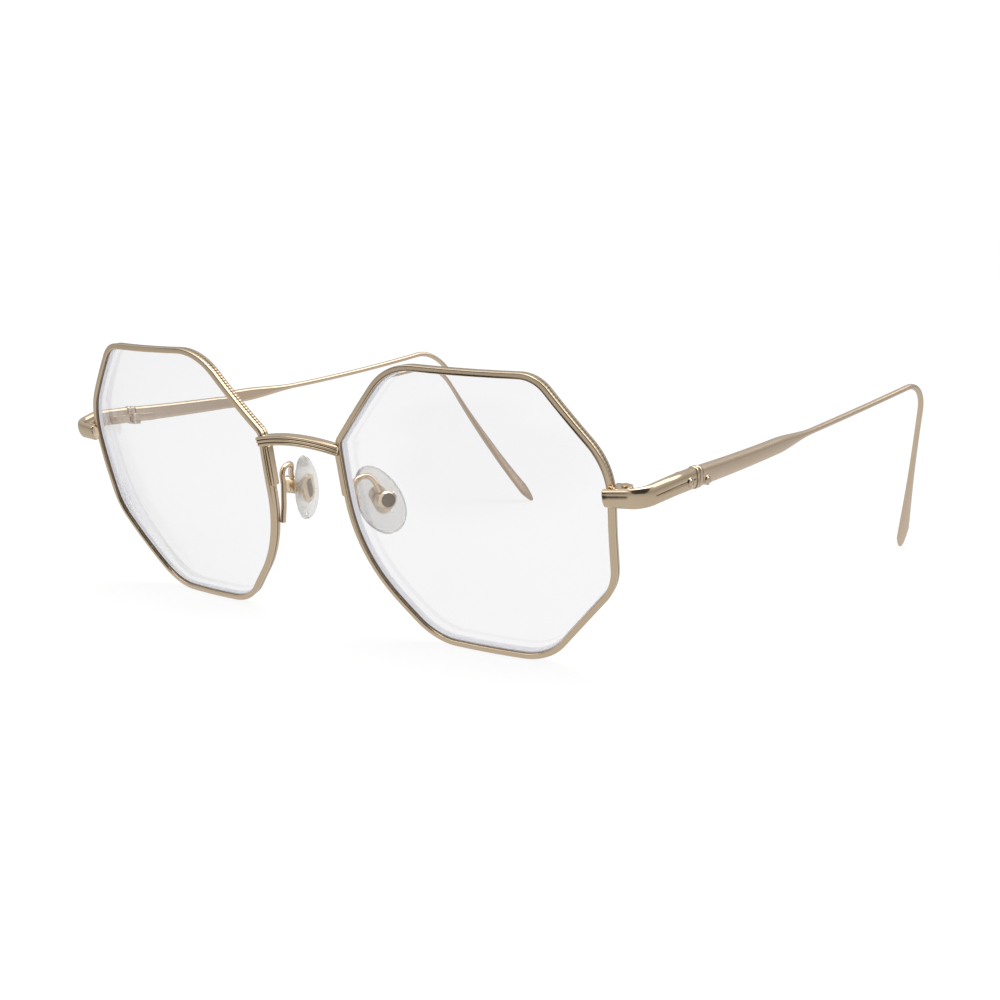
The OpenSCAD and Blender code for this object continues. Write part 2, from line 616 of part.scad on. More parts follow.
module pad_arm() {
    color(gold) skin(arm_rings);
}

cup_edge = 0.35;
slot_end = 1.1;
slot_h = 2.3;
slot_play = 0.05;
module pad_box() {
    r = cup_dia / 2;
    color(gold) at_pad() difference() {
        rotate([0, 90, 0]) rotate_extrude($fn = round_fn)
            polygon([[0, cup_mouth], [r, cup_mouth], [r, cup_back - cup_edge],
                [r - cup_edge, cup_back], [0, cup_back]]);
        translate([cup_mouth - 1, -tab_t / 2 - slot_play, -slot_h / 2])
            cube([slot_end - cup_mouth + 1, tab_t + 2 * slot_play, slot_h]);
        rotate([90, 0, 0])
            cylinder(d = pad_screw_dia + 2 * thread_play, h = cup_dia * 2, center = true, $fn = round_fn);
    }
}

pad_head_dia = pad_screw_dia + 0.4;
pad_head_h = 0.25;
module pad_screw() {
    color(gold) at_pad() translate([0, cup_dia / 2 + seat, 0]) rotate([-90, 0, 0])
        slotted_screw(pad_screw_dia, cup_dia, pad_head_dia, pad_head_h);
}

core_len = 5.4;
core_w = 3;
core_t = 0.5;
core_x = -pad_reach;
tab_h = 1.5;
module core_body(extra) {
    reach = (core_len - core_w) / 2;
    round_w = core_w + 2 * extra;
    tab = [-core_x, tab_t + 2 * extra, tab_h + 2 * extra];
    translate([core_x + core_t / 2 + extra, 0, -pad_low]) rotate([0, -90, 0])
        linear_extrude(core_t + 2 * extra) {
            square([2 * reach, round_w], center = true);
            for (end = [-1, 1]) translate([end * reach, 0]) circle(d = round_w, $fn = round_fn);
        }
    translate([core_x, -tab[1] / 2, -tab[2] / 2]) cube(tab);
}
module pad_core() {
    color(gold) at_pad() difference() {
        union() {
            core_body(0);
            rotate([90, 0, 0]) cylinder(d = tab_h, h = tab_t, center = true, $fn = round_fn);
        }
        rotate([90, 0, 0])
            cylinder(d = pad_screw_dia + 2 * turn_play, h = tab_t * 2, center = true, $fn = round_fn);
    }
}

module nose_pad() {
    color(frosted) at_pad() difference() {
        skin(pad_rings);
        core_body(seat);
    }
}

// Closing block: a rounded bar behind the end piece, cut in two by the split
block_mid = block_len - block_d / 2;
block_top = split_z + block_up;
block_floor = block_top - block_h;
block_seat = 0.05;
block_root = 2;
far_cut = 20;
module block_outline() {
    translate([-block_root, 0]) square([block_mid + block_root, block_d]);
    translate([block_mid, block_d / 2]) circle(d = block_d, $fn = round_fn);
}
module at_block() {
    rim_face = split_mid[0] + rim_w / 2 - end_start[0];
    translate(end_start - [0, 0, end_start[2]]) rotate([0, 0, front_run])
        translate([rim_face, end_t / 2 + seat, 0]) children();
}
module closing_block(low, high, bore) {
    color(gold) difference() {
        at_block() translate([0, 0, low]) linear_extrude(high - low) block_outline();
        translate([split_mid[0], split_mid[1], 0]) rotate([0, 0, atan2(split_out[1], split_out[0])])
            translate([rim_w / 2 + block_seat - far_cut, -far_cut / 2, 0]) cube(far_cut);
        at_block() translate([block_mid, block_d / 2, 0]) cylinder(d = bore, h = far_cut, $fn = round_fn);
    }
}
free_bore = rim_screw_dia + 0.12;
module closing_block_upper() {
    closing_block(split_up, block_top, free_bore);
}
module closing_block_lower() {
    closing_block(block_floor, split_down, rim_screw_dia + 2 * thread_play);
}
rim_head_dia = rim_screw_dia + 0.35;
rim_head_h = 0.3;
screw_short = 0.1;
module rim_screw() {
    color(gold) at_block() translate([block_mid, block_d / 2, block_top + seat]) rotate([0, 0, 30])
        slotted_screw(rim_screw_dia, block_h - screw_short, rim_head_dia, rim_head_h);
}

stud_root = 0.3;
stud_floor = bar_off + bar_t / 2 - stud_root;
stud_ball = stud_dia * 1.4;
module stud_pocket(back, low) {
    translate([stud_floor, back, -low]) rotate([0, 90, 0])
        cylinder(d = stud_dia + 2 * seat, h = 2 * stud_h, $fn = round_fn);
}
module stud(back, low) {
    color(gold) at_hinge() translate([stud_floor + seat, back, -low]) rotate([0, 90, 0])
        intersection() {
            cylinder(d = stud_dia, h = stud_root + stud_h, $fn = round_fn);
            translate([0, 0, stud_root + stud_h - stud_ball / 2]) sphere(d = stud_ball, $fn = round_fn);
        }
}

module end_piece() {
    color(gold) difference() {
        skin(end_rings);
        at_hinge() stud_pocket(-end_stud_back, end_stud_low);
    }
}
module end_stud() {
    stud(-end_stud_back, end_stud_low);
}
module temple_stud() {
    stud(temple_stud_back, temple_stud_low);
}

// Hinge: a leaf on the inner face of the bar, with its barrels on the screw
leaf_seat = 0.05;
leaf_x = bar_off - bar_t * flat_part - leaf_seat;
knuckle_h = (barrel_h - 2 * barrel_gap) / 3;
leaf_start = barrel_dia / 2 + 0.1;
leaf_short = 0.3;
module knuckle(low, high, way) {
    translate([0, 0, low]) {
        cylinder(d = barrel_dia, h = high - low, $fn = round_fn);
        translate([0, way > 0 ? 0 : -leaf_start, 0]) cube([leaf_x, leaf_start, high - low]);
    }
}
module leaf(way) {
    translate([leaf_x - leaf_t, way > 0 ? leaf_start : -leaf_len - leaf_start, leaf_short - barrel_h / 2])
        cube([leaf_t, leaf_len, barrel_h - 2 * leaf_short]);
}
module at_barrels() {
    at_hinge() translate([0, 0, -hinge_drop]) children();
}
hinge_head_dia = hinge_screw_dia + 0.5;
hinge_head_h = 0.3;
module hinge_front() {
    color(gold) at_barrels() difference() {
        union() {
            leaf(-1);
            knuckle(-barrel_h / 2, -barrel_h / 2 + knuckle_h, -1);
            knuckle(barrel_h / 2 - knuckle_h, barrel_h / 2, -1);
        }
        cylinder(d = hinge_screw_dia + 2 * thread_play, h = barrel_h * 2, center = true, $fn = round_fn);
        translate([0, 0, barrel_h / 2 - hinge_head_h])
            cylinder(d = hinge_head_dia + 2 * turn_play, h = 1, $fn = round_fn);
    }
}
module hinge_temple() {
    color(satin_gold) at_barrels() difference() {
        union() {
            leaf(1);
            knuckle(-knuckle_h / 2, knuckle_h / 2, 1);
        }
        cylinder(d = hinge_screw_dia + 2 * turn_play, h = barrel_h * 2, center = true, $fn = round_fn);
    }
}
module hinge_screw() {
    color(gold) at_barrels() translate([0, 0, barrel_h / 2 - hinge_head_h + seat]) rotate([0, 0, 20])
        slotted_screw(hinge_screw_dia, barrel_h - hinge_head_h, hinge_head_dia, hinge_head_h - seat);
}
module temple() {
    color(satin_gold) at_hinge() difference() {
        skin(temple_rings);
        stud_pocket(temple_stud_back, temple_stud_low);
    }
}

left() rim();  // rim_left
right() rim();  // rim_right
left() lens();  // lens_left
right() lens();  // lens_right
bridge();
left() nasal_bar();  // nasal_bar_left
right() nasal_bar();  // nasal_bar_right
left() pad_arm();  // pad_arm_left
right() pad_arm();  // pad_arm_right
left() pad_box();  // pad_box_left
right() pad_box();  // pad_box_right
left() pad_screw();  // pad_screw_left
right() pad_screw();  // pad_screw_right
left() pad_core();  // pad_core_left
right() pad_core();  // pad_core_right
left() nose_pad();  // nose_pad_left
right() nose_pad();  // nose_pad_right
left() closing_block_upper();  // closing_block_upper_left
right() closing_block_upper();  // closing_block_upper_right
left() closing_block_lower();  // closing_block_lower_left
right() closing_block_lower();  // closing_block_lower_right
left() rim_screw();  // rim_screw_left
right() rim_screw();  // rim_screw_right
left() end_piece();  // end_piece_left
right() end_piece();  // end_piece_right
left() end_stud();  // end_stud_left
right() end_stud();  // end_stud_right
left() hinge_front();  // hinge_front_left
right() hinge_front();  // hinge_front_right
left() hinge_temple();  // hinge_temple_left
right() hinge_temple();  // hinge_temple_right
left() hinge_screw();  // hinge_screw_left
right() hinge_screw();  // hinge_screw_right
left() temple();  // temple_left
right() temple();  // temple_right
left() temple_stud();  // temple_stud_left
right() temple_stud();  // temple_stud_right
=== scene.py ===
"""Octagonal metal spectacles in pale rose gold, standing on a white surface.

The sizes of the spectacles are in millimetres, and MM turns them into metres where a mesh is made.
Camera, light and floor are in metres. The left side is modelled and then mirrored for the right.
"""

from math import acos, atan, cos, pi, radians, sin, sqrt, tan

import bmesh
import bpy
from mathutils import Matrix, Vector


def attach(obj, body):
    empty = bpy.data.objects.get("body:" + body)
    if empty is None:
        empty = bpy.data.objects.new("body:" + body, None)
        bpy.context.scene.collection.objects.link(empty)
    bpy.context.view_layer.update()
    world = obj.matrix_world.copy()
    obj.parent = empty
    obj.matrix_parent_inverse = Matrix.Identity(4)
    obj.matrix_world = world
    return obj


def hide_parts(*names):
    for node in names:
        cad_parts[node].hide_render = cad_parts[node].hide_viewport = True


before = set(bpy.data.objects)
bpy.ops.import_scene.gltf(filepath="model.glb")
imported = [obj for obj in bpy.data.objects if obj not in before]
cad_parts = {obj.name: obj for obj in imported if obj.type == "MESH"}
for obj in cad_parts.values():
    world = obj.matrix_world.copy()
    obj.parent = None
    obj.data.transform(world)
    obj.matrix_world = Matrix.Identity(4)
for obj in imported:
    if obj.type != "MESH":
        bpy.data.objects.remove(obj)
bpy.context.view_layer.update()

MM = 0.001

# ---- nodes -------------------------------------------------------------------------------------


def feed(tree, node, inputs):
    """Link each named input of a node, where its value is a socket, or else give it the value."""
    for label, value in inputs.items():
        if isinstance(value, bpy.types.NodeSocket):
            tree.links.new(value, node.inputs[label])
        else:
            node.inputs[label].default_value = value


def new_node(tree, kind, inputs=None, **settings):
    node = tree.nodes.new(kind)
    for label, value in settings.items():
        setattr(node, label, value)
    feed(tree, node, inputs or {})
    return node


def maths(tree, operation, first, second=0.0, clamp=False):
    node = new_node(tree, "ShaderNodeMath", {0: first, 1: second}, operation=operation, use_clamp=clamp)
    return node.outputs[0]


def blended(tree, factor, first, second):
    """Mix of two colours."""
    return new_node(tree, "ShaderNodeMix", {0: factor, 6: first, 7: second}, data_type="RGBA").outputs[2]


def ranged(tree, value, between, levels=(0.0, 1.0), kind="LINEAR"):
    """The value, taken from the span between two bounds to the span between two levels."""
    ends = dict(zip(("From Min", "From Max", "To Min", "To Max"), (*between, *levels)))
    node = new_node(tree, "ShaderNodeMapRange", {"Value": value, **ends}, interpolation_type=kind)
    return node.outputs["Result"]


# ---- camera, floor and light -------------------------------------------------------------------

# Sine of the angle over the horizon, and level
TENT_HEIGHTS = [(0.0, 0.36), (0.2, 0.5), (0.55, 0.6), (0.80, 0.6), (0.90, 2.3)]
# Way to the middle of each patch, cosines of its outer and inner bounds, and its level
TENT_PATCHES = [
    ((0.52, -0.66, 0.5), 0.72, 0.84, 0.06),
    ((-0.59, -0.66, 0.50), 0.95, 0.985, 1.9),
    ((-0.60, -0.78, -0.02), 0.92, 0.965, 0.04),
    ((0.46, 0.56, 0.69), 0.90, 0.96, 2.2),
]
BACKDROP_LEVEL = 1.02
FLOOR_SIZE, FLOOR_DROP = 16, 0.00005
FLOOR_TONE, FLOOR_GLOW = 0.14, 0.88
# What the metal reflects of the floor: a place, two distances from it, and the level at each
FLOOR_LIGHT = ((0, -0.03, 0), (0.05, 0.34), (0.66, 0.5))
FLOOR_SHADES = [
    ((0.004, -0.138, 0), (0.03, 0.055), (0.06, 1.0)),
    ((-0.035, -0.185, 0), (0.025, 0.055), (0.06, 1.0)),
]


def place_camera():
    bpy.ops.object.camera_add(
        location=(0.198565, -0.25921457, 0.07168538),
        rotation=(radians(80.05114747), radians(0.1366223), radians(38.59268603)),
    )
    camera = bpy.context.object
    camera.name = "product_camera"
    camera.data.lens = 57.9276
    camera.data.sensor_width = 36
    camera.data.clip_start = 0.01
    bpy.context.scene.camera = camera


def warm_grey(level):
    return level, level * 0.99, level * 0.97, 1


def level_steps(tree, value, steps):
    """A warm grey for each value, eased from step to step."""
    ramp = new_node(tree, "ShaderNodeValToRGB", {0: value})
    ramp.color_ramp.interpolation = "EASE"
    points = ramp.color_ramp.elements
    while len(points) < len(steps):
        points.new(0.5)
    for point, (place, level) in zip(points, steps):
        point.position = place
        point.color = warm_grey(level)
    return ramp.outputs["Color"]


def seen_directly(tree):
    """1 for what the camera sees, straight or through a lens, and 0 for what the metal reflects."""
    path = tree.nodes.new("ShaderNodeLightPath")
    return maths(tree, "MAXIMUM", path.outputs["Is Camera Ray"], path.outputs["Is Transmission Ray"])


def reflected_or_seen(tree, reflected, seen, output_kind):
    """Give the output of a tree one shader for reflections and one for direct sight."""
    shaders = {0: seen_directly(tree), 1: reflected.outputs[0], 2: seen.outputs[0]}
    both = new_node(tree, "ShaderNodeMixShader", shaders)
    new_node(tree, output_kind, {0: both.outputs[0]})


def tent_patch(tree, direction, level, way, outer, inner, shade):
    """A soft round patch of another level on the tent."""
    ways = {0: direction, 1: Vector(way).normalized()}
    facing = new_node(tree, "ShaderNodeVectorMath", ways, operation="DOT_PRODUCT")
    mask = ranged(tree, facing.outputs["Value"], (outer, inner), kind="SMOOTHSTEP")
    return blended(tree, mask, level, warm_grey(shade))


def light_tent():
    """A pale tent, brighter overhead, with two dark openings and two bright panels, and a white backdrop."""
    world = bpy.data.worlds.new("light_tent")
    bpy.context.scene.world = world
    world.use_nodes = True
    tree = world.node_tree
    tree.nodes.clear()
    direction = tree.nodes.new("ShaderNodeTexCoord").outputs["Generated"]
    split = new_node(tree, "ShaderNodeSeparateXYZ", {0: direction})
    level = level_steps(tree, split.outputs["Z"], TENT_HEIGHTS)
    for patch in TENT_PATCHES:
        level = tent_patch(tree, direction, level, *patch)
    around = new_node(tree, "ShaderNodeBackground", {"Color": level, "Strength": 1.0})
    backdrop = new_node(tree, "ShaderNodeBackground", {"Color": (1, 1, 1, 1), "Strength": BACKDROP_LEVEL})
    reflected_or_seen(tree, around, backdrop, "ShaderNodeOutputWorld")


def floor_level(tree, centre, between, levels):
    """A level that changes from the first to the second with the distance from a place on the floor."""
    places = {0: tree.nodes.new("ShaderNodeTexCoord").outputs["Object"], 1: centre}
    distance = new_node(tree, "ShaderNodeVectorMath", places, operation="DISTANCE")
    return ranged(tree, distance.outputs["Value"], between, levels, "SMOOTHSTEP")


def white_floor():
    bpy.ops.mesh.primitive_plane_add(size=FLOOR_SIZE, location=(0, 0, -FLOOR_DROP))
    floor = bpy.context.object
    floor.name = "floor"
    material = bpy.data.materials.new("white_floor")
    material.use_nodes = True
    tree = material.node_tree
    tree.nodes.clear()
    paper = tree.nodes.new("ShaderNodeBsdfPrincipled")
    feed(tree, paper, {"Base Color": (*[FLOOR_TONE] * 3, 1), "Roughness": 0.8, "Specular IOR Level": 0.0})
    feed(tree, paper, {"Emission Color": (1, 1, 1, 1), "Emission Strength": FLOOR_GLOW})
    level = floor_level(tree, *FLOOR_LIGHT)
    for shade in FLOOR_SHADES:
        level = maths(tree, "MULTIPLY", level, floor_level(tree, *shade))
    reflected = new_node(tree, "ShaderNodeEmission", {"Color": (1, 0.99, 0.98, 1), "Strength": level})
    reflected_or_seen(tree, reflected, paper, "ShaderNodeOutputMaterial")
    floor.data.materials.append(material)


def soft_light(name, place, aim, size, power):
    bpy.ops.object.light_add(type="AREA", location=place)
    light = bpy.context.object
    light.name = name
    light.data.shape = "RECTANGLE"
    light.data.size, light.data.size_y = size
    light.data.energy = power
    light.data.color = (1, 0.99, 0.97)
    light.rotation_euler = (Vector(aim) - Vector(place)).to_track_quat("-Z", "Y").to_euler()
    light.visible_camera = False


place_camera()
light_tent()
white_floor()
soft_light("top_light", place=(0.05, -0.02, 0.8), aim=(0, 0, 0), size=(0.3, 0.3), power=1.2)
bpy.context.scene.view_settings.view_transform = "Standard"

# ---- materials ---------------------------------------------------------------------------------

NOISE_SPAN = (0.3, 0.7)
DUST_SPAN = (0.74, 0.8)
BUMP_DEPTH = 0.00003
# For the milled gold: how much of the grain is left on the cuts, how strongly they are darkened with painted
# shade, and the share of the tone that is left in that painted shade in their depth
GRAIN_ON_CUTS, CUT_SHADE_STRENGTH, CUT_SHADE_TONE = 0.2, 0.55, (0.45, 0.4, 0.35)


def group_of(name, inputs, outputs):
    """A node group with these sockets, and the two nodes at its ends."""
    tree = bpy.data.node_groups.new(name, "ShaderNodeTree")
    for label, kind, value in inputs:
        socket = tree.interface.new_socket(name=label, in_out="INPUT", socket_type=kind)
        socket.default_value = value
    for label, kind in outputs:
        tree.interface.new_socket(name=label, in_out="OUTPUT", socket_type=kind)
    return tree, tree.nodes.new("NodeGroupInput"), tree.nodes.new("NodeGroupOutput")


def noise(tree, scale, detail, stretch=(1, 1, 1)):
    """Noise on Object coordinates; scale is in features per metre."""
    place = tree.nodes.new("ShaderNodeTexCoord").outputs["Object"]
    mapping = new_node(tree, "ShaderNodeMapping", {"Vector": place, "Scale": stretch})
    grain = {"Vector": mapping.outputs["Vector"], "Scale": scale, "Detail": detail}
    return new_node(tree, "ShaderNodeTexNoise", grain).outputs["Fac"]


def spread(tree, value, low, high):
    """Noise, taken from its usual span to the span from low to high."""
    return ranged(tree, value, NOISE_SPAN, (low, high))


def plated_surface():
    """Plating with slight clouds of tone, handling marks in its gloss and fine polishing lines."""
    tree, given, out = group_of(
        "plated_surface",
        [
            ("Tone", "NodeSocketColor", (0.75, 0.56, 0.36, 1)),
            ("Pale Tone", "NodeSocketColor", (0.8, 0.62, 0.42, 1)),
            ("Smoothest", "NodeSocketFloat", 0.1),
            ("Roughest", "NodeSocketFloat", 0.2),
        ],
        [("Color", "NodeSocketColor"), ("Roughness", "NodeSocketFloat"), ("Height", "NodeSocketFloat")],
    )
    clouds = noise(tree, 260, 3)
    marks = noise(tree, 2600, 4, (1, 0.25, 1))
    grain = noise(tree, 16000, 2)
    surface = {
        "Color": blended(tree, clouds, given.outputs["Tone"], given.outputs["Pale Tone"]),
        "Roughness": spread(tree, marks, given.outputs["Smoothest"], given.outputs["Roughest"]),
        "Height": maths(tree, "ADD", maths(tree, "MULTIPLY", marks, 0.6), grain),
    }
    feed(tree, out, surface)
    return tree


def milled_lines():
    """Fine cuts across a strip, from the distance along it, with slightly uneven depth, and a mask for the
    painted shade in the cuts.
    """
    tree, given, out = group_of(
        "milled_lines",
        [("Pitch", "NodeSocketFloat", 0.3), ("Unevenness", "NodeSocketFloat", 0.5)],
        [("Height", "NodeSocketFloat"), ("Cut Shade", "NodeSocketFloat")],
    )
    run = new_node(tree, "ShaderNodeAttribute", attribute_name="run")
    turns = maths(tree, "DIVIDE", run.outputs["Fac"], given.outputs["Pitch"])
    wave = maths(tree, "SINE", maths(tree, "MULTIPLY", turns, 2 * pi))
    uneven = maths(tree, "MULTIPLY", noise(tree, 3500, 2), given.outputs["Unevenness"])
    level = maths(tree, "ADD", maths(tree, "MULTIPLY", wave, 0.5), uneven)
    feed(tree, out, {"Height": level, "Cut Shade": maths(tree, "MULTIPLY", wave, -1, clamp=True)})
    return tree


def smudges():
    """Faint wiped marks and dust, as two masks."""
    tree, _, out = group_of("smudges", [], [("Mask", "NodeSocketFloat"), ("Dust", "NodeSocketFloat")])
    wipes = noise(tree, 90, 5, (1, 1, 0.35))
    specks = noise(tree, 5200, 1)
    feed(tree, out, {"Mask": spread(tree, wipes, 0.0, 1.0), "Dust": ranged(tree, specks, DUST_SPAN)})
    return tree


PLATED = plated_surface()
MILLED = milled_lines()
SMUDGES = smudges()


def new_material(name):
    material = bpy.data.materials.new(name)
    material.use_nodes = True
    tree = material.node_tree
    return material, tree, tree.nodes["Principled BSDF"]


def bump(tree, height, strength):
    """A normal from a height."""
    relief = {"Strength": strength, "Distance": BUMP_DEPTH, "Height": height}
    return new_node(tree, "ShaderNodeBump", relief).outputs["Normal"]


def gold(name, tone, pale, smoothest, roughest, strength, cuts=None):
    """Plated metal; cuts is the pitch of milled lines, in millimetres as the distance along a piece, and the
    cuts get painted shade.
    """
    material, tree, shader = new_material(name)
    tones = {"Tone": (*tone, 1), "Pale Tone": (*pale, 1), "Smoothest": smoothest, "Roughest": roughest}
    plated = new_node(tree, "ShaderNodeGroup", node_tree=PLATED)
    feed(tree, plated, tones)
    colour, height = plated.outputs["Color"], plated.outputs["Height"]
    if cuts:
        milled = new_node(tree, "ShaderNodeGroup", node_tree=MILLED)
        feed(tree, milled, {"Pitch": cuts})
        height = maths(tree, "ADD", maths(tree, "MULTIPLY", height, GRAIN_ON_CUTS), milled.outputs["Height"])
        # Painted shade: the colour in the cuts is darkened towards this deeper tone
        cut_shade = (*(part * level for part, level in zip(tone, CUT_SHADE_TONE)), 1)
        colour = blended(tree, maths(tree, "MULTIPLY", milled.outputs["Cut Shade"], CUT_SHADE_STRENGTH), colour, cut_shade)
    feed(
        tree,
        shader,
        {
            "Metallic": 1,
            "Base Color": colour,
            "Roughness": plated.outputs["Roughness"],
            "Normal": bump(tree, height, strength),
        },
    )
    return material


POLISHED = gold("polished_rose_gold", (0.70, 0.555, 0.39), (0.75, 0.605, 0.44), 0.09, 0.17, 0.06)
SATIN = gold("satin_rose_gold", (0.75, 0.595, 0.445), (0.81, 0.655, 0.495), 0.2, 0.26, 0.006)
MILLED_GOLD = gold("milled_rose_gold", (0.76, 0.62, 0.44), (0.84, 0.70, 0.52), 0.1, 0.2, 0.7, cuts=0.62)
# Painted shade: a dark gold laid in the lens seat of the rims, between the ribs of the bridge and on the
# round end of the cup
PAINTED_GROOVE_SHADE = gold("painted_groove_shade", (0.2, 0.145, 0.09), (0.27, 0.2, 0.13), 0.25, 0.4, 0.1)
FITTING = gold("polished_fittings", (0.70, 0.585, 0.45), (0.75, 0.635, 0.50), 0.1, 0.18, 0.05)
# Painted shade: a dark gold laid in engraved lines, at the foot of the collars and on the sunk face of the
# pad's insert
PAINTED_RECESS_SHADE = gold("painted_recess_shade", (0.16, 0.11, 0.06), (0.24, 0.17, 0.10), 0.3, 0.45, 0.2)
WIRE = gold("drawn_rose_gold_wire", (0.70, 0.555, 0.40), (0.75, 0.605, 0.45), 0.14, 0.24, 0.1)


def lens_glass():
    material, tree, shader = new_material("clear_lens")
    marks = new_node(tree, "ShaderNodeGroup", node_tree=SMUDGES)
    tint = blended(tree, marks.outputs["Dust"], (0.89, 0.89, 0.905, 1), (0.86, 0.86, 0.87, 1))
    rough = spread(tree, marks.outputs["Mask"], 0.0, 0.012)
    feed(tree, shader, {"Transmission Weight": 1, "IOR": 1.5, "Roughness": rough, "Base Color": tint})
    return material


def ground_edge():
    """The ground edge of a lens, with a little light of its own that keeps it pale."""
    material, tree, shader = new_material("ground_lens_edge")
    rough = spread(tree, noise(tree, 9000, 3), 0.35, 0.6)
    feed(tree, shader, {"IOR": 1.5, "Base Color": (0.8, 0.8, 0.82, 1), "Roughness": rough})
    feed(tree, shader, {"Emission Color": (0.95, 0.96, 1, 1), "Emission Strength": 0.3})
    return material


def soft_pad(name, tone, aged):
    material, tree, shader = new_material(name)
    tint = blended(tree, noise(tree, 420, 3), (*tone, 1), (*aged, 1))
    rough = spread(tree, noise(tree, 600, 3), 0.14, 0.28)
    feed(tree, shader, {"Transmission Weight": 0.74, "IOR": 1.3, "Base Color": tint, "Roughness": rough})
    feed(tree, shader, {"Normal": bump(tree, noise(tree, 700, 2), 0.03)})
    return material


LENS = lens_glass()
LENS_EDGE = ground_edge()
PAD = soft_pad("clear_soft_pad", (0.94, 0.94, 0.95), (0.92, 0.91, 0.86))

# ---- modelling by hand -------------------------------------------------------------------------

# Distance in metres within which two corners count as one, and cosine within which a face looks along an axis
SAME_PLACE, FACING = 0.000002, 0.99


def clear_selection():
    if bpy.context.object and bpy.context.object.mode != "OBJECT":
        bpy.ops.object.mode_set(mode="OBJECT")
    bpy.ops.object.select_all(action="DESELECT")


def select_only(piece):
    clear_selection()
    piece.select_set(True)
    bpy.context.view_layer.objects.active = piece


def end_editing():
    """Turn all faces of the mesh outwards and leave edit mode."""
    bpy.ops.mesh.select_all(action="SELECT")
    bpy.ops.mesh.normals_make_consistent(inside=False)
    bpy.ops.object.mode_set(mode="OBJECT")


def drawn_out(name, rings, materials, lanes=()):
    """Add a disc with the corners of the first ring and extrude it from ring to ring.

    Each corner keeps its distance along the piece, in millimetres, in "run". A lane is two corners,
    a material for the faces between them and, where only a part is meant, two rings.
    """
    clear_selection()
    bpy.ops.mesh.primitive_circle_add(vertices=len(rings[0]), radius=MM, fill_type="NGON")
    piece = bpy.context.object
    piece.name = name
    for material in materials:
        piece.data.materials.append(material)
    bpy.ops.object.mode_set(mode="EDIT")
    mesh = bmesh.from_edit_mesh(piece.data)
    mesh.verts.layers.float.new("run")
    lane = mesh.verts.layers.int.new("lane")
    mesh.verts.layers.int.new("station")
    mesh.faces.ensure_lookup_table()
    travelled = 0.0
    middle = sum(rings[0], Vector()) / len(rings[0])
    for corner, (loop, point) in enumerate(zip(mesh.faces[0].loops, rings[0])):
        loop.vert.co = point * MM
        loop.vert[lane] = corner
    for number, ring in enumerate(rings[1:], 1):
        bmesh.update_edit_mesh(piece.data)
        bpy.ops.mesh.extrude_region_move()
        mesh = bmesh.from_edit_mesh(piece.data)
        run = mesh.verts.layers.float["run"]
        lane = mesh.verts.layers.int["lane"]
        station = mesh.verts.layers.int["station"]
        end = next(face for face in mesh.faces if face.select)
        centre = sum(ring, Vector()) / len(ring)
        travelled += (centre - middle).length
        middle = centre
        for loop in end.loops:
            loop.vert.co = ring[loop.vert[lane]] * MM
            loop.vert[run] = travelled
            loop.vert[station] = number
    count = len(rings[0])
    for face in mesh.faces:
        if len(face.verts) != 4:
            continue
        corners = sorted(set(vert[lane] for vert in face.verts))
        if len(corners) != 2:
            continue
        low = corners[1] if corners == [0, count - 1] else corners[0]
        at = min(vert[station] for vert in face.verts)
        for first, last, index, *span in lanes:
            if first <= low < last and (not span or span[0] <= at < span[1]):
                face.material_index = index
    bmesh.update_edit_mesh(piece.data)
    end_editing()
    return piece


def smoothed(piece, angle):
    select_only(piece)
    bpy.ops.object.shade_smooth_by_angle(angle=radians(angle))
    return piece


def applied(piece, kind, name, **settings):
    """Add a modifier with these settings and apply it."""
    select_only(piece)
    modifier = piece.modifiers.new(name, kind)
    for key, value in settings.items():
        setattr(modifier, key, value)
    bpy.ops.object.modifier_apply(modifier=modifier.name)


def moved_by(piece, matrix):
    piece.data.transform(matrix)
    piece.data.update()
    return piece


def rested(piece):
    """Worn flat where it stands on the table."""
    for vert in piece.data.vertices:
        vert.co.z = max(vert.co.z, 0)
    piece.data.update()
    return piece


def mirrored(piece, name):
    """The same piece for the right side, with its own mesh."""
    select_only(piece)
    bpy.ops.object.duplicate()
    twin = bpy.context.object
    twin.name = name
    bpy.ops.transform.resize(value=(-1, 1, 1), center_override=(0, 0, 0))
    bpy.ops.object.transform_apply(location=True, rotation=True, scale=True)
    bpy.ops.object.mode_set(mode="EDIT")
    end_editing()
    return twin


def finished(piece, body, node):
    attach(piece, body)
    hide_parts(node)


def pair(piece, label, node, body):
    """Give the left piece its name and body, and make the right one."""
    piece.name = label + "_left"
    twin = mirrored(piece, label + "_right")
    side_bodies = ("front", "front") if body == "front" else (body + "_left", body + "_right")
    finished(piece, side_bodies[0], node + "_left")
    finished(twin, side_bodies[1], node + "_right")


# ---- the shape of the front --------------------------------------------------------------------

# How the front leans back on its rims, and where its middle stands
LEAN, STAND_Y, STAND_Z = 13.76, -64.0453, 23.9546
STAND = Matrix.Translation(Vector((0, STAND_Y, STAND_Z)) * MM) @ Matrix.Rotation(radians(LEAN), 4, "X")

# Rim wire: width as seen from the front, depth, radius of its edges
RIM_W, RIM_D, RIM_EDGE = 1.05, 1.8, 0.18
# The groove for the lens, the play in it, and the width of the engraved line
GROOVE_DEEP, GROOVE_W, LENS_PLAY, LINE_W = 0.4, 0.9, 0.03, 0.24
# Lens: width, height, distance between the two, thickness in the middle, and its front from the rim's
# middle surface
LENS_W, LENS_H, LENS_GAP, LENS_MID, LENS_FRONT = 52.2, 49.1, 19.3, 1.6, -0.15
# Radii of the front and the back of a lens, and its sweep back in degrees
FRONT_R, BACK_R, WRAP = 126, 106, 4.8
# The side of the octagon next to the nose: its two heights, and how far it leans out
NASAL_TOP, NASAL_FOOT, NASAL_SHIFT = 10.7, -9.5, 0.4
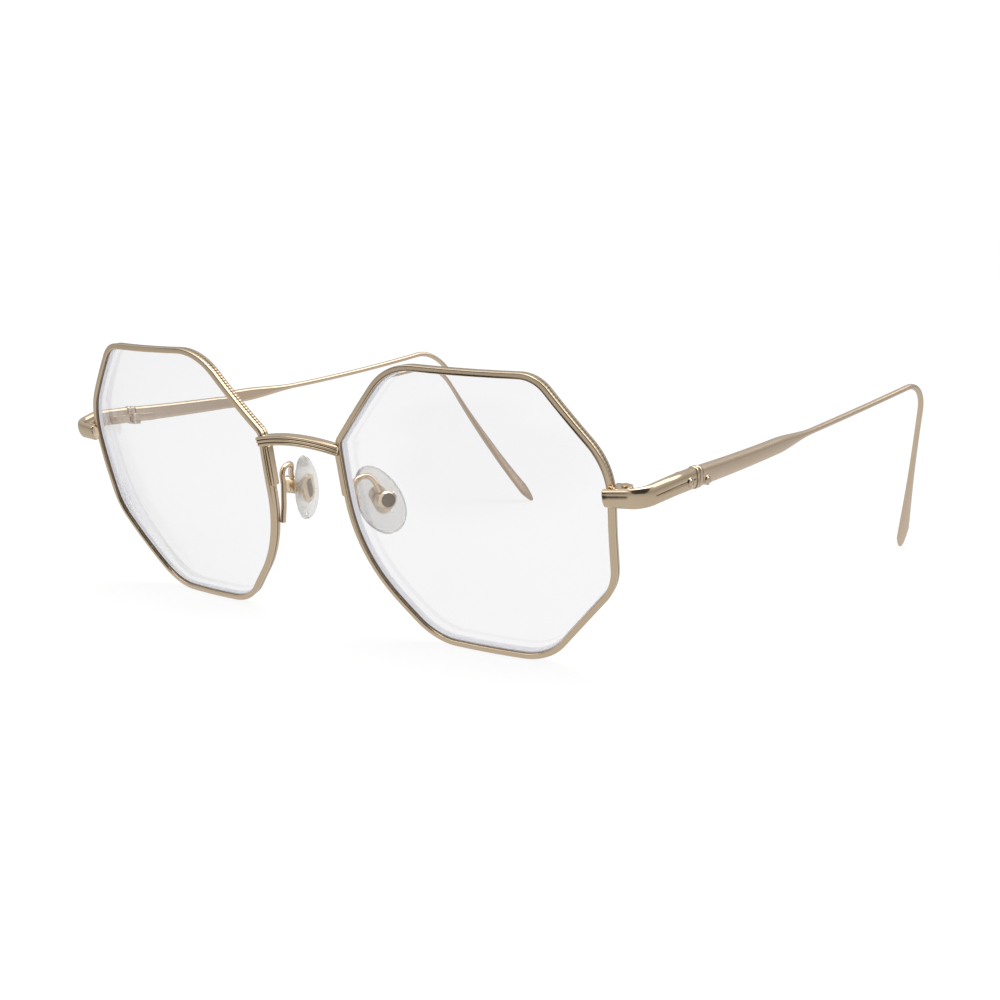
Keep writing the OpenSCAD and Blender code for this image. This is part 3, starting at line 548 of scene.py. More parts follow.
# From the outline of the lens out to the middle line of the wire, and the bounds of that line
SEAT_IN = RIM_W / 2 - GROOVE_DEEP + LENS_PLAY
IN_X = LENS_GAP / 2 - SEAT_IN
OUT_X = LENS_GAP / 2 + LENS_W + SEAT_IN
TOP_Z = LENS_H / 2 + SEAT_IN
LENS_X = (IN_X + OUT_X) / 2
# Corners of the middle line, from the upper one next to the nose outwards and round, and their radii
CORNERS = [
    Vector(corner)
    for corner in (
        (IN_X + 13.5, TOP_Z),
        (OUT_X - 11.2, TOP_Z - 1),
        (OUT_X, 9.6),
        (OUT_X - 1.8, -10.1),
        (OUT_X - 16.3, -TOP_Z),
        (IN_X + 13.7, -TOP_Z + 0.6),
        (IN_X + NASAL_SHIFT, NASAL_FOOT),
        (IN_X, NASAL_TOP),
    )
]
CORNER_R = [12, 6.1, 12.7, 8.6, 11.2, 10.2, 26, 2]
# Steps of the mesh round a corner, along a side and round an edge of the wire
CORNER_STEPS, SIDE_STEPS, EDGE_STEPS = 12, 5, 3
# The split in the outer side of the rim: its height and its gap
SPLIT_Z, SPLIT_GAP = 5.2, 0.14


def within(k):
    return min(1, max(0, k))


def ease(k):
    k = within(k)
    return k * k * (3 - 2 * k)


def mix(a, b, k):
    return a + (b - a) * k


def rounded_corner(before, corner, after, radius, steps):
    u, v = (before - corner).normalized(), (after - corner).normalized()
    half = acos(max(-1, min(1, u.dot(v)))) / 2
    centre = corner + (u + v).normalized() * radius / sin(half)
    turn = pi - 2 * half
    start = corner + u * radius / tan(half) - centre
    end = corner + v * radius / tan(half) - centre
    return [
        centre + (start * sin((1 - k / steps) * turn) + end * sin(k / steps * turn)) / sin(turn)
        for k in range(steps + 1)
    ]


def rounded_route(points, radii, steps):
    route = [points[0]]
    for i in range(1, len(points) - 1):
        route += rounded_corner(points[i - 1], points[i], points[i + 1], radii[i - 1], steps)
    return route + [points[-1]]


def octagon_corner(i):
    before, corner, after = (CORNERS[k % 8] for k in (i + 7, i, i + 1))
    return rounded_corner(before, corner, after, CORNER_R[i % 8], CORNER_STEPS)


def octagon_side(i):
    """Points of the straight side after a corner, without its ends."""
    start, end = octagon_corner(i)[-1], octagon_corner(i + 1)[0]
    return [mix(start, end, k / SIDE_STEPS) for k in range(1, SIDE_STEPS)]


def face_depth(x, z):
    """How far back the middle surface of the wrapped and curved rim lies."""
    return tan(radians(WRAP)) * (x - LENS_X) + ((x - LENS_X) ** 2 + z * z) / (2 * FRONT_R)


def face_normal(p):
    return Vector((-tan(radians(WRAP)) - (p[0] - LENS_X) / FRONT_R, 1, -p[1] / FRONT_R)).normalized()


def on_face(p):
    return Vector((p[0], face_depth(p[0], p[1]), p[1]))


def outward(p, before, after):
    """The way out of the rim at p, along the face and square to its run."""
    t = (after - before).normalized()
    o, n = Vector((-t[1], 0, t[0])), face_normal(p)
    return (o - n * o.dot(n)).normalized()


def quarter(x, y, start_angle):
    """Points of a rounded edge of the rim wire, a quarter turn from start_angle."""
    angles = [start_angle + pi / 2 * k / EDGE_STEPS for k in range(EDGE_STEPS + 1)]
    return [(x + RIM_EDGE * cos(a), y + RIM_EDGE * sin(a)) for a in angles]


# ---- rims --------------------------------------------------------------------------------------

upper_side, lower_side = octagon_corner(2)[-1], octagon_corner(3)[0]


def on_outer_side(z):
    return mix(upper_side, lower_side, (z - upper_side[1]) / (lower_side[1] - upper_side[1]))


# The rings of the wire between which the strips beside its engraved line are milled: on the upper side
MILLED_RINGS = (76, 130)


def rim_wire():
    edge_x, edge_y = RIM_W / 2 - RIM_EDGE, RIM_D / 2 - RIM_EDGE
    section = [(RIM_W / 2, -LINE_W / 2), (RIM_W / 2 - LINE_W / 2, 0), (RIM_W / 2, LINE_W / 2)]
    section += quarter(edge_x, edge_y, 0)
    section += quarter(-edge_x, edge_y, pi / 2)
    seat_from = len(section) - 1
    section += [(-RIM_W / 2, GROOVE_W / 2), (GROOVE_DEEP - RIM_W / 2, 0), (-RIM_W / 2, -GROOVE_W / 2)]
    seat_to = len(section)
    section += quarter(-edge_x, -edge_y, pi)
    section += quarter(edge_x, -edge_y, 3 * pi / 2)
    loop = [on_outer_side(SPLIT_Z - SPLIT_GAP / 2), on_outer_side(0), on_outer_side(-2)]
    for i in range(3, 10):
        loop += octagon_corner(i) + octagon_side(i)
    loop += octagon_corner(10) + [on_outer_side(SPLIT_Z + SPLIT_GAP / 2)]
    rings = []
    for i, p in enumerate(loop):
        out = outward(p, loop[max(i - 1, 0)], loop[min(i + 1, len(loop) - 1)])
        rings.append([on_face(p) + out * s[0] + face_normal(p) * s[1] for s in section])
    last = len(section)
    # Painted shade: the engraved line gets the dark recess gold and the lens seat the dark groove gold
    lanes = [(0, 2, 1), (seat_from, seat_to, 3)]
    lanes += [(2, 3, 2, *MILLED_RINGS), (last - 1, last, 2, *MILLED_RINGS)]
    wire = drawn_out("rim_wire", rings, [POLISHED, PAINTED_RECESS_SHADE, MILLED_GOLD, PAINTED_GROOVE_SHADE], lanes)
    return smoothed(rested(moved_by(wire, STAND)), 38)


# ---- lenses ------------------------------------------------------------------------------------

# Spokes and rings of a lens, the share of its size that the ring in its middle has, and the play of its bevel
LENS_SPOKES, LENS_RINGS, LENS_MIDDLE, BEVEL_PLAY = 200, 12, 0.004, 0.07


def evenly_spaced(loop, count):
    """Points at equal steps along a closed loop."""
    ends = loop[1:] + loop[:1]
    whole = sum((b - a).length for a, b in zip(loop, ends))
    step, carried, points = whole / count, 0.0, []
    for a, b in zip(loop, ends):
        length = (b - a).length
        while carried < length - 1e-9 and len(points) < count:
            points.append(mix(a, b, carried / length))
            carried += step
        carried -= length
    return points


def clear_lens():
    """Even rings from the middle out to the edge, over the bevel that sits in the rim, and back."""
    count = LENS_SPOKES
    outline = evenly_spaced([p for i in range(8) for p in octagon_corner(i) + octagon_side(i)], count)
    out = [outward(outline[i], outline[i - 1], outline[(i + 1) % count]) for i in range(count)]
    edge_in, front = -RIM_W / 2 - LENS_PLAY, LENS_FRONT

    def thickness(x, z):
        return LENS_MID + ((x - LENS_X) ** 2 + z * z) / 2 * (1 / BACK_R - 1 / FRONT_R)

    def surface(x, z, back):
        return face_depth(x, z) + front + (thickness(x, z) if back else 0)

    def edge(i, a, b):
        return on_face(outline[i]) + out[i] * a + face_normal(outline[i]) * b

    def rim_of(i, back):
        e = edge(i, edge_in, front)
        return edge(i, edge_in, front + thickness(e[0], e[2])) if back else e

    def inside(i, k, back):
        e = rim_of(i, back)
        x, z = mix(LENS_X, e[0], k), k * e[2]
        return Vector((x, surface(x, z, back) + (e[1] - surface(e[0], e[2], back)) * k**4, z))

    steps = [LENS_MIDDLE] + [k / LENS_RINGS for k in range(1, LENS_RINGS + 1)]
    rings = [[inside(i, k, False) for i in range(count)] for k in steps]
    rings.append([edge(i, GROOVE_DEEP - RIM_W / 2 - LENS_PLAY, 0) for i in range(count)])
    rings.append([edge(i, edge_in, GROOVE_W / 2 - BEVEL_PLAY) for i in range(count)])
    rings += [[inside(i, k, True) for i in range(count)] for k in reversed(steps)]
    lens = drawn_out("clear_lens", rings, [LENS, LENS_EDGE])
    first, last = len(steps) - 1, len(steps) + 2
    for face in lens.data.polygons:
        places = [int(v) // count for v in face.vertices]
        if len(places) == 4 and first <= min(places) and max(places) <= last:
            face.material_index = 1
    return smoothed(moved_by(lens, STAND), 9)


# ---- bridge ------------------------------------------------------------------------------------

# Bridge: half its length, height, arch, depth, and height of a rib
BRIDGE_HALF, BRIDGE_Z, BRIDGE_ARCH, BRIDGE_D, RIB_H = 9.7, 10.55, 1.2, 1.6, 0.62
# How far it stands in front of the rims, its bow to the front, and the share of its depth between ribs
BRIDGE_PROUD, BRIDGE_BOW, RIB_VALLEY = 0.75, 0.5, 0.72
# Where the bar laps over a rim its back is cut away: how far before the rim this starts, and how far
# in front of the rim the back then lies
LAP_CLEAR, LAP_AHEAD = 0.23, 0.2


def heading(route, i):
    return (route[min(i + 1, len(route) - 1)] - route[max(i - 1, 0)]).normalized()


def reeded_bridge():
    """A bar with three ribs on each face, each rib an arc of 120 degrees."""
    section = []
    for face in (1, -1):
        for row in (-1, 0, 1):
            for a in range(-60, 61 if row == 1 else 60, 12):
                bulge = BRIDGE_D / 2 - (1 - cos(radians(a))) * BRIDGE_D * (1 - RIB_VALLEY)
                rise = row * RIB_H + RIB_H / 2 * sin(radians(a)) / sin(radians(60))
                section.append((face * bulge, face * rise))
    middle_y = face_depth(IN_X, BRIDGE_Z) - RIM_D / 2 - BRIDGE_PROUD + BRIDGE_D / 2
    step = IN_X - RIM_W / 2 - LAP_CLEAR
    lap_back = BRIDGE_D / 2 - BRIDGE_PROUD + LAP_AHEAD
    inner = [step * k / 18 for k in range(-17, 18)]
    stops = [-BRIDGE_HALF, -BRIDGE_HALF + 0.08, -BRIDGE_HALF + 0.2, -step, -step + 0.06]
    stops += inner + [step - 0.06, step, BRIDGE_HALF - 0.2, BRIDGE_HALF - 0.08, BRIDGE_HALF]
    route = []
    for x in stops:
        q = (x / BRIDGE_HALF) ** 2
        route.append(Vector((x, middle_y - BRIDGE_BOW * (1 - q), BRIDGE_Z - BRIDGE_ARCH * q)))
    rings = []
    for i, x in enumerate(stops):
        t = heading(route, i)
        side = t.cross(Vector((0, 0, 1))).normalized()
        up = side.cross(t)
        from_end = BRIDGE_HALF - abs(x)
        shrink = 0.88 if from_end < 0.01 else 0.96 if from_end < 0.1 else 1
        lapped = [(max(s[0], lap_back), s[1]) if abs(x) >= step - 0.001 else s for s in section]
        rings.append([route[i] + side * s[0] + up * s[1] * shrink for s in lapped])
    # The faces on both sides of each border between two ribs, darkened with painted shade
    shaded_valleys = [(8, 12, 1), (18, 22, 1), (39, 43, 1), (49, 53, 1)]
    bar = drawn_out("reeded_bridge", rings, [POLISHED, PAINTED_GROOVE_SHADE], shaded_valleys)
    return smoothed(moved_by(bar, STAND), 50)


# The flat bar: its size, the cut at its foot, its softened edges, and its distance from the rim's inner side
# and from the rim's middle surface
STRIP_W, STRIP_D, STRIP_H, STRIP_FOOT, STRIP_EDGE = 0.8, 1.4, 7.5, 0.4, 0.14
STRIP_CLEAR, STRIP_BACK = 0.05, 0.1
# Gap that fitted parts keep
SEAT = 0.02


def nasal_bar():
    """A flat bar against the nasal side of the rim, softened on all edges and cut back at its foot."""
    z = BRIDGE_Z - BRIDGE_ARCH - RIB_H * 1.5 - SEAT - STRIP_H / 2
    x = mix(IN_X, IN_X + NASAL_SHIFT, (NASAL_TOP - z) / (NASAL_TOP - NASAL_FOOT))
    turn = (
        Matrix.Rotation(atan(tan(radians(WRAP)) + (IN_X - LENS_X) / FRONT_R), 4, "Z")
        @ Matrix.Rotation(-atan(NASAL_SHIFT / (NASAL_TOP - NASAL_FOOT)), 4, "Y")
        @ Matrix.Rotation(-atan(z / FRONT_R), 4, "X")
    )
    clear_selection()
    size = Vector((STRIP_W, STRIP_D, STRIP_H)) * MM
    bpy.ops.mesh.primitive_cube_add(size=1, location=(0, 0, 0), scale=size)
    bar = bpy.context.object
    bpy.ops.object.transform_apply(location=True, rotation=True, scale=True)
    bpy.ops.object.mode_set(mode="EDIT")
    bpy.ops.mesh.select_all(action="DESELECT")
    mesh = bmesh.from_edit_mesh(bar.data)
    for vert in mesh.verts:
        if vert.co.z < 0 and vert.co.x < 0:
            vert.select_set(True)
    mesh.select_flush(True)
    bmesh.update_edit_mesh(bar.data)
    bpy.ops.mesh.bevel(offset=STRIP_FOOT * MM, segments=4)
    bpy.ops.object.mode_set(mode="OBJECT")
    bar.data.materials.append(POLISHED)
    limits = {"limit_method": "ANGLE", "angle_limit": radians(40)}
    applied(bar, "BEVEL", "soft_edges", width=STRIP_EDGE * MM, segments=3, **limits)
    place = Vector((-RIM_W / 2 - STRIP_CLEAR - STRIP_W / 2, STRIP_BACK, 0)) * MM
    moved_by(bar, Matrix.Translation(on_face((x, z)) * MM) @ turn @ Matrix.Translation(place))
    return smoothed(moved_by(bar, STAND), 40)


# ---- hinge place and bars ----------------------------------------------------------------------

# End piece: height at the rim and at the joint, thickness, and its bend: reach, rise and radius
END_H, END_JOINT_H, END_T, END_REACH, END_RISE, END_BEND_R = 2.8, 3.35, 1.5, 5.95, 0.3, 3.2
# Its sweep back, inset and lift at the rim, sink before the hinge, radius of the curve there, and the share
# of its first length that is the rounded nose
END_SWEEP, END_INSET, END_LIFT, END_SINK, END_BLEND_R, NOSE_SHARE = 0.95, 0.1, 0.15, 0.15, 10, 0.08
# The joint, from the split in the rim: out, back and down, and its gap
JOINT_OUT, JOINT_BACK, JOINT_DROP, JOINT_GAP = 6.9, 12.6, 1.15, 0.1
# Downward tilt and inward turn of the temples against the front, in degrees
PANTOSCOPIC, TOE_IN = 12.3, 4.6
# Height and thickness of the temple at the joint, diameter of the hinge barrels, length of the hinge leaves
BAR_H, BAR_T, BARREL_DIA, LEAF_LEN = 3.3, 1.9, 2.2, 4.4
# From the hinge screw out to the middle of the bars
BAR_OFF = BAR_T / 2 + BARREL_DIA / 2 + 0.05
# Distance of a bar's flat inner side from its middle, as a share of the thickness
FLAT_PART = 0.42
# The collars at the joint: height, middle and half length, stations along them, and where their foot lies,
# which gets painted shade
COLLAR_H, COLLAR_MID, COLLAR_HALF = 0.3, 0.475, 0.375
COLLAR_STOPS = [0, 0.05, 0.1, 0.14, 0.2, 0.28, 0.4, 0.54, 0.66, 0.76, 0.83, 0.88, 0.95, 1.1, 1.3]
COLLAR_FOOT = (0.83, 1.1)
# The line engraved in the end piece: its ends as distances from the joint, and half its width; it gets
# painted shade
LINE_FROM, LINE_TO, LINE_HALF = 1.8, 9.6, 0.09

split_p = on_outer_side(SPLIT_Z)
split_out = outward(split_p, upper_side, lower_side)
split_back = face_normal(split_p)
split_mid = on_face(split_p)
end_y = split_mid[1] - split_out[1] * RIM_W / 2 - split_back[1] * RIM_D / 2 - END_T / 2 - SEAT
end_start = Vector((split_mid[0] - RIM_W / 2 + END_INSET, end_y, SPLIT_Z + END_LIFT))
end_bend = Vector((split_mid[0] + END_REACH, end_y + END_SWEEP, SPLIT_Z + END_RISE))
HINGE_TURN = Matrix.Rotation(radians(-PANTOSCOPIC), 4, "X") @ Matrix.Rotation(radians(TOE_IN), 4, "Z")
hinge_at = split_mid + Vector((JOINT_OUT, JOINT_BACK, -JOINT_DROP)) - HINGE_TURN @ Vector((BAR_OFF, 0, 0))


def from_hinge(x, y, z=0.0):
    return hinge_at + HINGE_TURN @ Vector((x, y, z))


def signed_power(value, power):
    return (1 if value >= 0 else -1) * abs(value) ** power


def bar_section(t, h, swell, power, flat, count):
    """Oval of a bar, squarer for a smaller power, with its inner side flat."""
    points = []
    for k in range(count):
        a = 2 * pi * k / count
        x = (t + swell) / 2 * signed_power(cos(a), power)
        points.append((max(x, -t * flat), (h + swell) / 2 * signed_power(sin(a), power)))
    return points


def ring_swell(s):
    """Rise of the rounded collar at a distance from the joint."""
    k = (s - COLLAR_MID) / COLLAR_HALF
    return COLLAR_H * sqrt(1 - k * k) if abs(k) < 1 else 0


def end_piece():
    """The bar across the rim, bent back to the hinge.

    A station is a point and a stage: 0 to 1 on the rounded nose, up to 3 before the bend, 3 to 9 round it,
    10 to 13 on the gentle curve after it, up to 14 before the collar and 16 on the collar.
    """
    level = from_hinge(BAR_OFF, -LEAF_LEN - BARREL_DIA - 0.4, -END_SINK)
    last = from_hinge(BAR_OFF, -JOINT_GAP / 2)
    arc = rounded_corner(end_start, end_bend, level, END_BEND_R, 24)
    blend = rounded_corner(end_bend, level, last, END_BLEND_R, 8)
    stations = [(mix(end_start, arc[0], NOSE_SHARE * k), k) for k in (0, 0.15, 0.4, 0.7, 1)]
    stations += [(mix(end_start, arc[0], mix(NOSE_SHARE, 1, k)), mix(1, 3, k)) for k in (0.2, 0.4, 0.6, 0.8)]
    stations += [(p, 3 + 6 * k / 24) for k, p in enumerate(arc)]
    stations += [(p, 10 + 3 * k / 8) for k, p in enumerate(blend)]
    stations += [(mix(blend[-1], last, k), 13 + k) for k in (0.2, 0.4, 0.6)]
    stations += [(from_hinge(BAR_OFF, -s - JOINT_GAP / 2), 16) for s in reversed(COLLAR_STOPS)]
    route = [p for p, _ in stations]
    rings, line_rings, shaded_foot_rings = [], [], []
    for i, (p, at) in enumerate(stations):
        t = heading(route, i)
        side = t.cross(Vector((0, 0, 1))).normalized()
        up = side.cross(t)
        nose = sqrt(max(0, 1 - (1 - min(at, 1)) ** 2))
        thick = mix(END_T, BAR_T, ease((at - 3) / 7)) * mix(0.72, 1, nose)
        high = mix(END_H, END_JOINT_H, ease((at + 2) / 7)) * mix(0.84, 1, nose)
        to_joint = (route[-1] - p).length
        swell = ring_swell(to_joint) if at > 12 else 0
        lower = (END_T - thick) / 2 if at < 3 else 0
        power = mix(0.92, 0.75, ease((at - 4) / 8))
        section = bar_section(thick, high, swell, power, FLAT_PART, 32)
        engraved = at > 8 and LINE_FROM < to_joint < LINE_TO
        line = [(thick / 2 - (LINE_HALF if engraved else 0), 0), (thick / 2, LINE_HALF)]
        section = line + section[1:] + [(thick / 2, -LINE_HALF)]
        if engraved:
            line_rings.append(i)
        if at > 8 and COLLAR_FOOT[0] - 0.01 < to_joint < COLLAR_FOOT[1] + 0.01:
            shaded_foot_rings.append(i)
        rings.append([p - side * lower + side * s[0] + up * s[1] for s in section])
    count, span = len(rings[0]), (line_rings[0] - 1, line_rings[-1] + 1)
    shaded_foot = (shaded_foot_rings[0], shaded_foot_rings[-1])
    # Painted shade: the engraved line and the foot of the collar get the dark recess gold
    lanes = [(0, 1, 1, *span), (count - 1, count, 1, *span), (0, count, 1, *shaded_foot)]
    bar = drawn_out("end_bar", rings, [POLISHED, PAINTED_RECESS_SHADE], lanes)
    return smoothed(moved_by(bar, STAND), 60)


# Temple up to the ear bend: length, rise and outward bow in degrees, and where along it the bow starts
TEMPLE_LEN, TEMPLE_RISE, TEMPLE_BOW, BOW_FROM = 85.5, 5.8, 5.3, 0.35
# Ear bend: radius and angle, length after it, and the inward lean it brings
EAR_R, EAR_ANGLE, EAR_LEN, EAR_LEAN = 10.9, 68.7, 40.6, 16.3
# Where the bar starts to thin: its height and its distance; the length it thins over, and the wire it becomes
BAR_END_H, BAR_LEN, THINNING, WIRE_DIA = 2.8, 29.5, 15, 1.1
# Blade: width, thickness, twist in degrees, and the power of its growth in width
BLADE_W, BLADE_T, BLADE_TWIST, BLADE_POWER = 4.15, 0.9, 19, 1.28
# Rounded tip: its length, lean and flare in degrees up to it, and the share of the width at its end
TIP_LEN, TIP_LEAN, TIP_FLARE, TIP_END = 4.3, 2.8, 9.6, 0.12
BEND_LEN = radians(EAR_ANGLE) * EAR_R
WHOLE_LEN = TEMPLE_LEN + BEND_LEN + EAR_LEN


def temple_heading(s):
    """The way the temple runs at a distance from the joint: a rising bow, the ear bend and the drop."""
    run, bend = within(s / TEMPLE_LEN), within((s - TEMPLE_LEN) / BEND_LEN)
    drop = within((s - TEMPLE_LEN - BEND_LEN) / EAR_LEN)
    yaw = radians(-TEMPLE_BOW * max(0, run - BOW_FROM) / (1 - BOW_FROM))
    pitch = radians(TEMPLE_RISE * run - EAR_ANGLE * bend + TIP_FLARE * drop)
    lean = radians(EAR_LEAN * bend + TIP_LEAN * drop)
    v = Vector((-sin(yaw) * cos(pitch), cos(yaw) * cos(pitch), sin(pitch)))
    return (v * cos(lean) + Vector((-1, 0, 0)) * sin(lean)).normalized()


def thinning(s):
    return ease((s - BAR_LEN) / THINNING)


def blade(s):
    return within((s - TEMPLE_LEN - BEND_LEN) / (EAR_LEN - TIP_LEN))


def tip_taper(s):
    return mix(TIP_END, 1, sqrt(within((WHOLE_LEN - s) / TIP_LEN)))


def temple_size(s):
    bar = mix(BAR_H, BAR_END_H, within(s / BAR_LEN))
    high = mix(mix(bar, WIRE_DIA, thinning(s)), BLADE_W, blade(s) ** BLADE_POWER) * tip_taper(s)
    thick = mix(mix(BAR_T, WIRE_DIA, thinning(s)), BLADE_T, blade(s)) * mix(0.4, 1, tip_taper(s))
    return thick, high


def temple():
    stops = [*COLLAR_STOPS, 1.7, 2.2, 3]
    stops += [3 + (BAR_LEN - 3) * k / 14 for k in range(1, 15)]
    stops += [BAR_LEN + THINNING * k / 16 for k in range(1, 17)]
    stops += [mix(BAR_LEN + THINNING, TEMPLE_LEN, k / 16) for k in range(1, 17)]
    stops += [TEMPLE_LEN + BEND_LEN * k / 24 for k in range(1, 25)]
    stops += [TEMPLE_LEN + BEND_LEN + (EAR_LEN - TIP_LEN) * k / 20 for k in range(1, 21)]
    tip_stops = (0.9, 0.8, 0.7, 0.6, 0.5, 0.4, 0.3, 0.2, 0.13, 0.08, 0.04, 0.015, 0)
    stops += [WHOLE_LEN - TIP_LEN * k for k in tip_stops]
    route = [Vector((BAR_OFF, JOINT_GAP / 2, 0))]
    for a, b in zip(stops, stops[1:]):
        route.append(route[-1] + temple_heading((a + b) / 2) * (b - a))
    rings = []
    for i, s in enumerate(stops):
        t = Vector((0, 1, 0)) if i == 0 else heading(route, i)
        side = (Vector((1, 0, 0)) - t * t[0]).normalized()
        up = side.cross(t)
        thick, high = temple_size(s)
        power, flat = mix(0.7, 0.95, thinning(s)), mix(FLAT_PART, 0.5, thinning(s))
        section = bar_section(thick, high, ring_swell(s), power, flat, 28)
        twist = radians(BLADE_TWIST * ease(blade(s)))
        x_way = side * cos(twist) - up * sin(twist)
        y_way = up * cos(twist) + side * sin(twist)
        points = [route[i] + x_way * p[0] + y_way * p[1] for p in section]
        rings.append([hinge_at + HINGE_TURN @ p for p in points])
    # Painted shade: the foot of the collar gets the dark recess gold
    shaded_foot = [stops.index(s) for s in COLLAR_FOOT]
    bar = drawn_out("temple_bar", rings, [SATIN, PAINTED_RECESS_SHADE], [(0, 28, 1, *shaded_foot)])
    return smoothed(rested(moved_by(bar, STAND)), 60)


# ---- nose pads and their arms ------------------------------------------------------------------

# Pad: length, width, bulge towards the nose and towards the cup, and distance of its middle from the cup's
PAD_LEN, PAD_W, PAD_FRONT, PAD_BACK, PAD_REACH = 13.3, 7.8, 1.8, 1, 2.5
# Corners round it, steps to either side, fullness and egg shape of its form, and how low it hangs
PAD_POINTS, PAD_STEPS, PAD_FULLNESS, PAD_EGG, PAD_LOW = 48, 14, 0.7, 0.12, 0.2
# Diameters of the cup and of the arm's wire, and how far the wire lies from the middle of the cup
CUP_DIA, ARM_DIA, ARM_X = 3.2, 1, -0.15
# Place of the cup, and the turns of cup and pad in degrees
PAD_AT = Vector((11.7, 7.15, -1.85))
PAD_SPLAY, PAD_TILT, PAD_RAKE = -22, -9.5, 14
PAD_TURN = (
    Matrix.Rotation(radians(PAD_SPLAY), 4, "Z")
    @ Matrix.Rotation(radians(PAD_TILT), 4, "Y")
    @ Matrix.Rotation(radians(PAD_RAKE), 4, "X")
)
# Corners of the arm's route from the nasal bar to the pad, and the radius of the bend at each inner one
ARM_CORNERS = [(10.12, 1.79, -6.9), (9.75, 2.5, -3.8), (9.35, 3.1, 0.2), (9.3, 3.2, 2.95), (9.8, 6.6, 3.05)]
ARM_BENDS = [6, 6, 1.6, 1.6, 1]


def from_pad(x, y, z):
    return PAD_AT + PAD_TURN @ Vector((x, y, z))


def pad_arm():
    points = [Vector(p) for p in ARM_CORNERS]
    points += [from_pad(ARM_X, 0, 3), from_pad(ARM_X, 0, CUP_DIA / 2 + SEAT)]
    route = rounded_route(points, ARM_BENDS, 10)
    turns = [2 * pi * k / 16 for k in range(16)]
    rings = []
    for i, p in enumerate(route):
        t = heading(route, i)
        side = (Vector((1, 0, 0)) - t * t[0]).normalized()
        up = side.cross(t)
        rings.append([p + (side * cos(a) + up * sin(a)) * ARM_DIA / 2 for a in turns])
    wire = drawn_out("pad_arm_wire", rings, [WIRE])
    return smoothed(moved_by(wire, STAND), 50)


def nose_pad():
    """An egg-shaped cushion, drawn out from its back to its front."""
    rings = []
    for k in range(-PAD_STEPS, PAD_STEPS + 1):
        a = radians(88 * k / PAD_STEPS)
        grow = cos(a) ** PAD_FULLNESS
        x = -PAD_REACH - sin(a) * (PAD_BACK if k < 0 else PAD_FRONT)
        ring = []
        for j in range(PAD_POINTS):
            b = -radians(360 / PAD_POINTS * j)
            y = PAD_W / 2 * grow * cos(b) * (1 - PAD_EGG * sin(b))
            ring.append(from_pad(x, y, PAD_LEN / 2 * grow * sin(b) - PAD_LOW))
        rings.append(ring)
    pad = drawn_out("soft_pad", rings, [PAD])
    return smoothed(moved_by(pad, STAND), 60)


# ---- small parts taken from the drawing and eased on their edges -------------------------------


def eased(node, name, edge, material, segments=2):
    """A copy of a drawn part with its edges broken by hand: merged, cleaned and bevelled."""
    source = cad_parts[node]
    source.hide_viewport = False
    select_only(source)
    bpy.ops.object.duplicate()
    piece = bpy.context.object
    piece.parent = None
    piece.name = name
    for key in list(piece.keys()):
        del piece[key]
    piece.data.materials.clear()
    piece.data.materials.append(material)
    bpy.ops.object.mode_set(mode="EDIT")
    bpy.ops.mesh.select_all(action="SELECT")
    bpy.ops.mesh.remove_doubles(threshold=SAME_PLACE)
    bpy.ops.mesh.dissolve_limited(angle_limit=radians(1))
    bpy.ops.object.mode_set(mode="OBJECT")
    limits = {"limit_method": "ANGLE", "angle_limit": radians(35), "use_clamp_overlap": True}
    applied(piece, "BEVEL", "eased_edges", width=edge * MM, segments=segments, **limits)
    return smoothed(piece, 35)


def cup():
    """The cup that holds the pad, with a painted dark reflection on its round end, inside the rim."""
    piece = eased("pad_box_left", "pad_cup", 0.16, POLISHED, 3)
    piece.data.materials.append(PAINTED_GROOVE_SHADE)
    axis = STAND.to_3x3() @ (PAD_TURN @ Vector((1, 0, 0)))
    # Painted reflection: the round end that faces along the pad's axis gets the dark groove gold
    for face in piece.data.polygons:
        if face.normal.dot(axis) > FACING:
            face.material_index = 1
    return piece


# Width of the plain edge round the face with painted shade, and how deep that face lies
CORE_RIM, CORE_SUNK = 0.7, 0.04


def core():
    """The insert inside a pad, with painted shade within the edge of the face that is seen through the pad.
    """
    piece = eased("pad_core_left", "pad_core_eased", 0.08, WIRE)
    piece.data.materials.append(PAINTED_RECESS_SHADE)
    axis = STAND.to_3x3() @ (PAD_TURN @ Vector((-1, 0, 0)))
    select_only(piece)
    bpy.ops.object.mode_set(mode="EDIT")
    bpy.ops.mesh.select_all(action="DESELECT")
    mesh = bmesh.from_edit_mesh(piece.data)
    facing = [face for face in mesh.faces if face.normal.dot(axis) > FACING]
    widest = max(facing, key=lambda face: face.calc_area())
    widest.select_set(True)
    bmesh.update_edit_mesh(piece.data)
    bpy.ops.mesh.inset(thickness=CORE_RIM * MM, depth=-CORE_SUNK * MM)
    mesh = bmesh.from_edit_mesh(piece.data)
    # Painted shade: the sunk face gets the dark recess gold
    for face in mesh.faces:
        if face.select:
            face.material_index = 1
    bmesh.update_edit_mesh(piece.data)
    bpy.ops.object.mode_set(mode="OBJECT")
    return piece


# Radius and height of each corner of the ring's profile, and how deep the ring is set in
RING_PROFILE = [(0.66, -0.4), (0.66, 0.14), (0.7, 0.18), (0.76, 0.18), (0.82, 0.1), (0.82, -0.4)]
RING_SUNK = 0.03


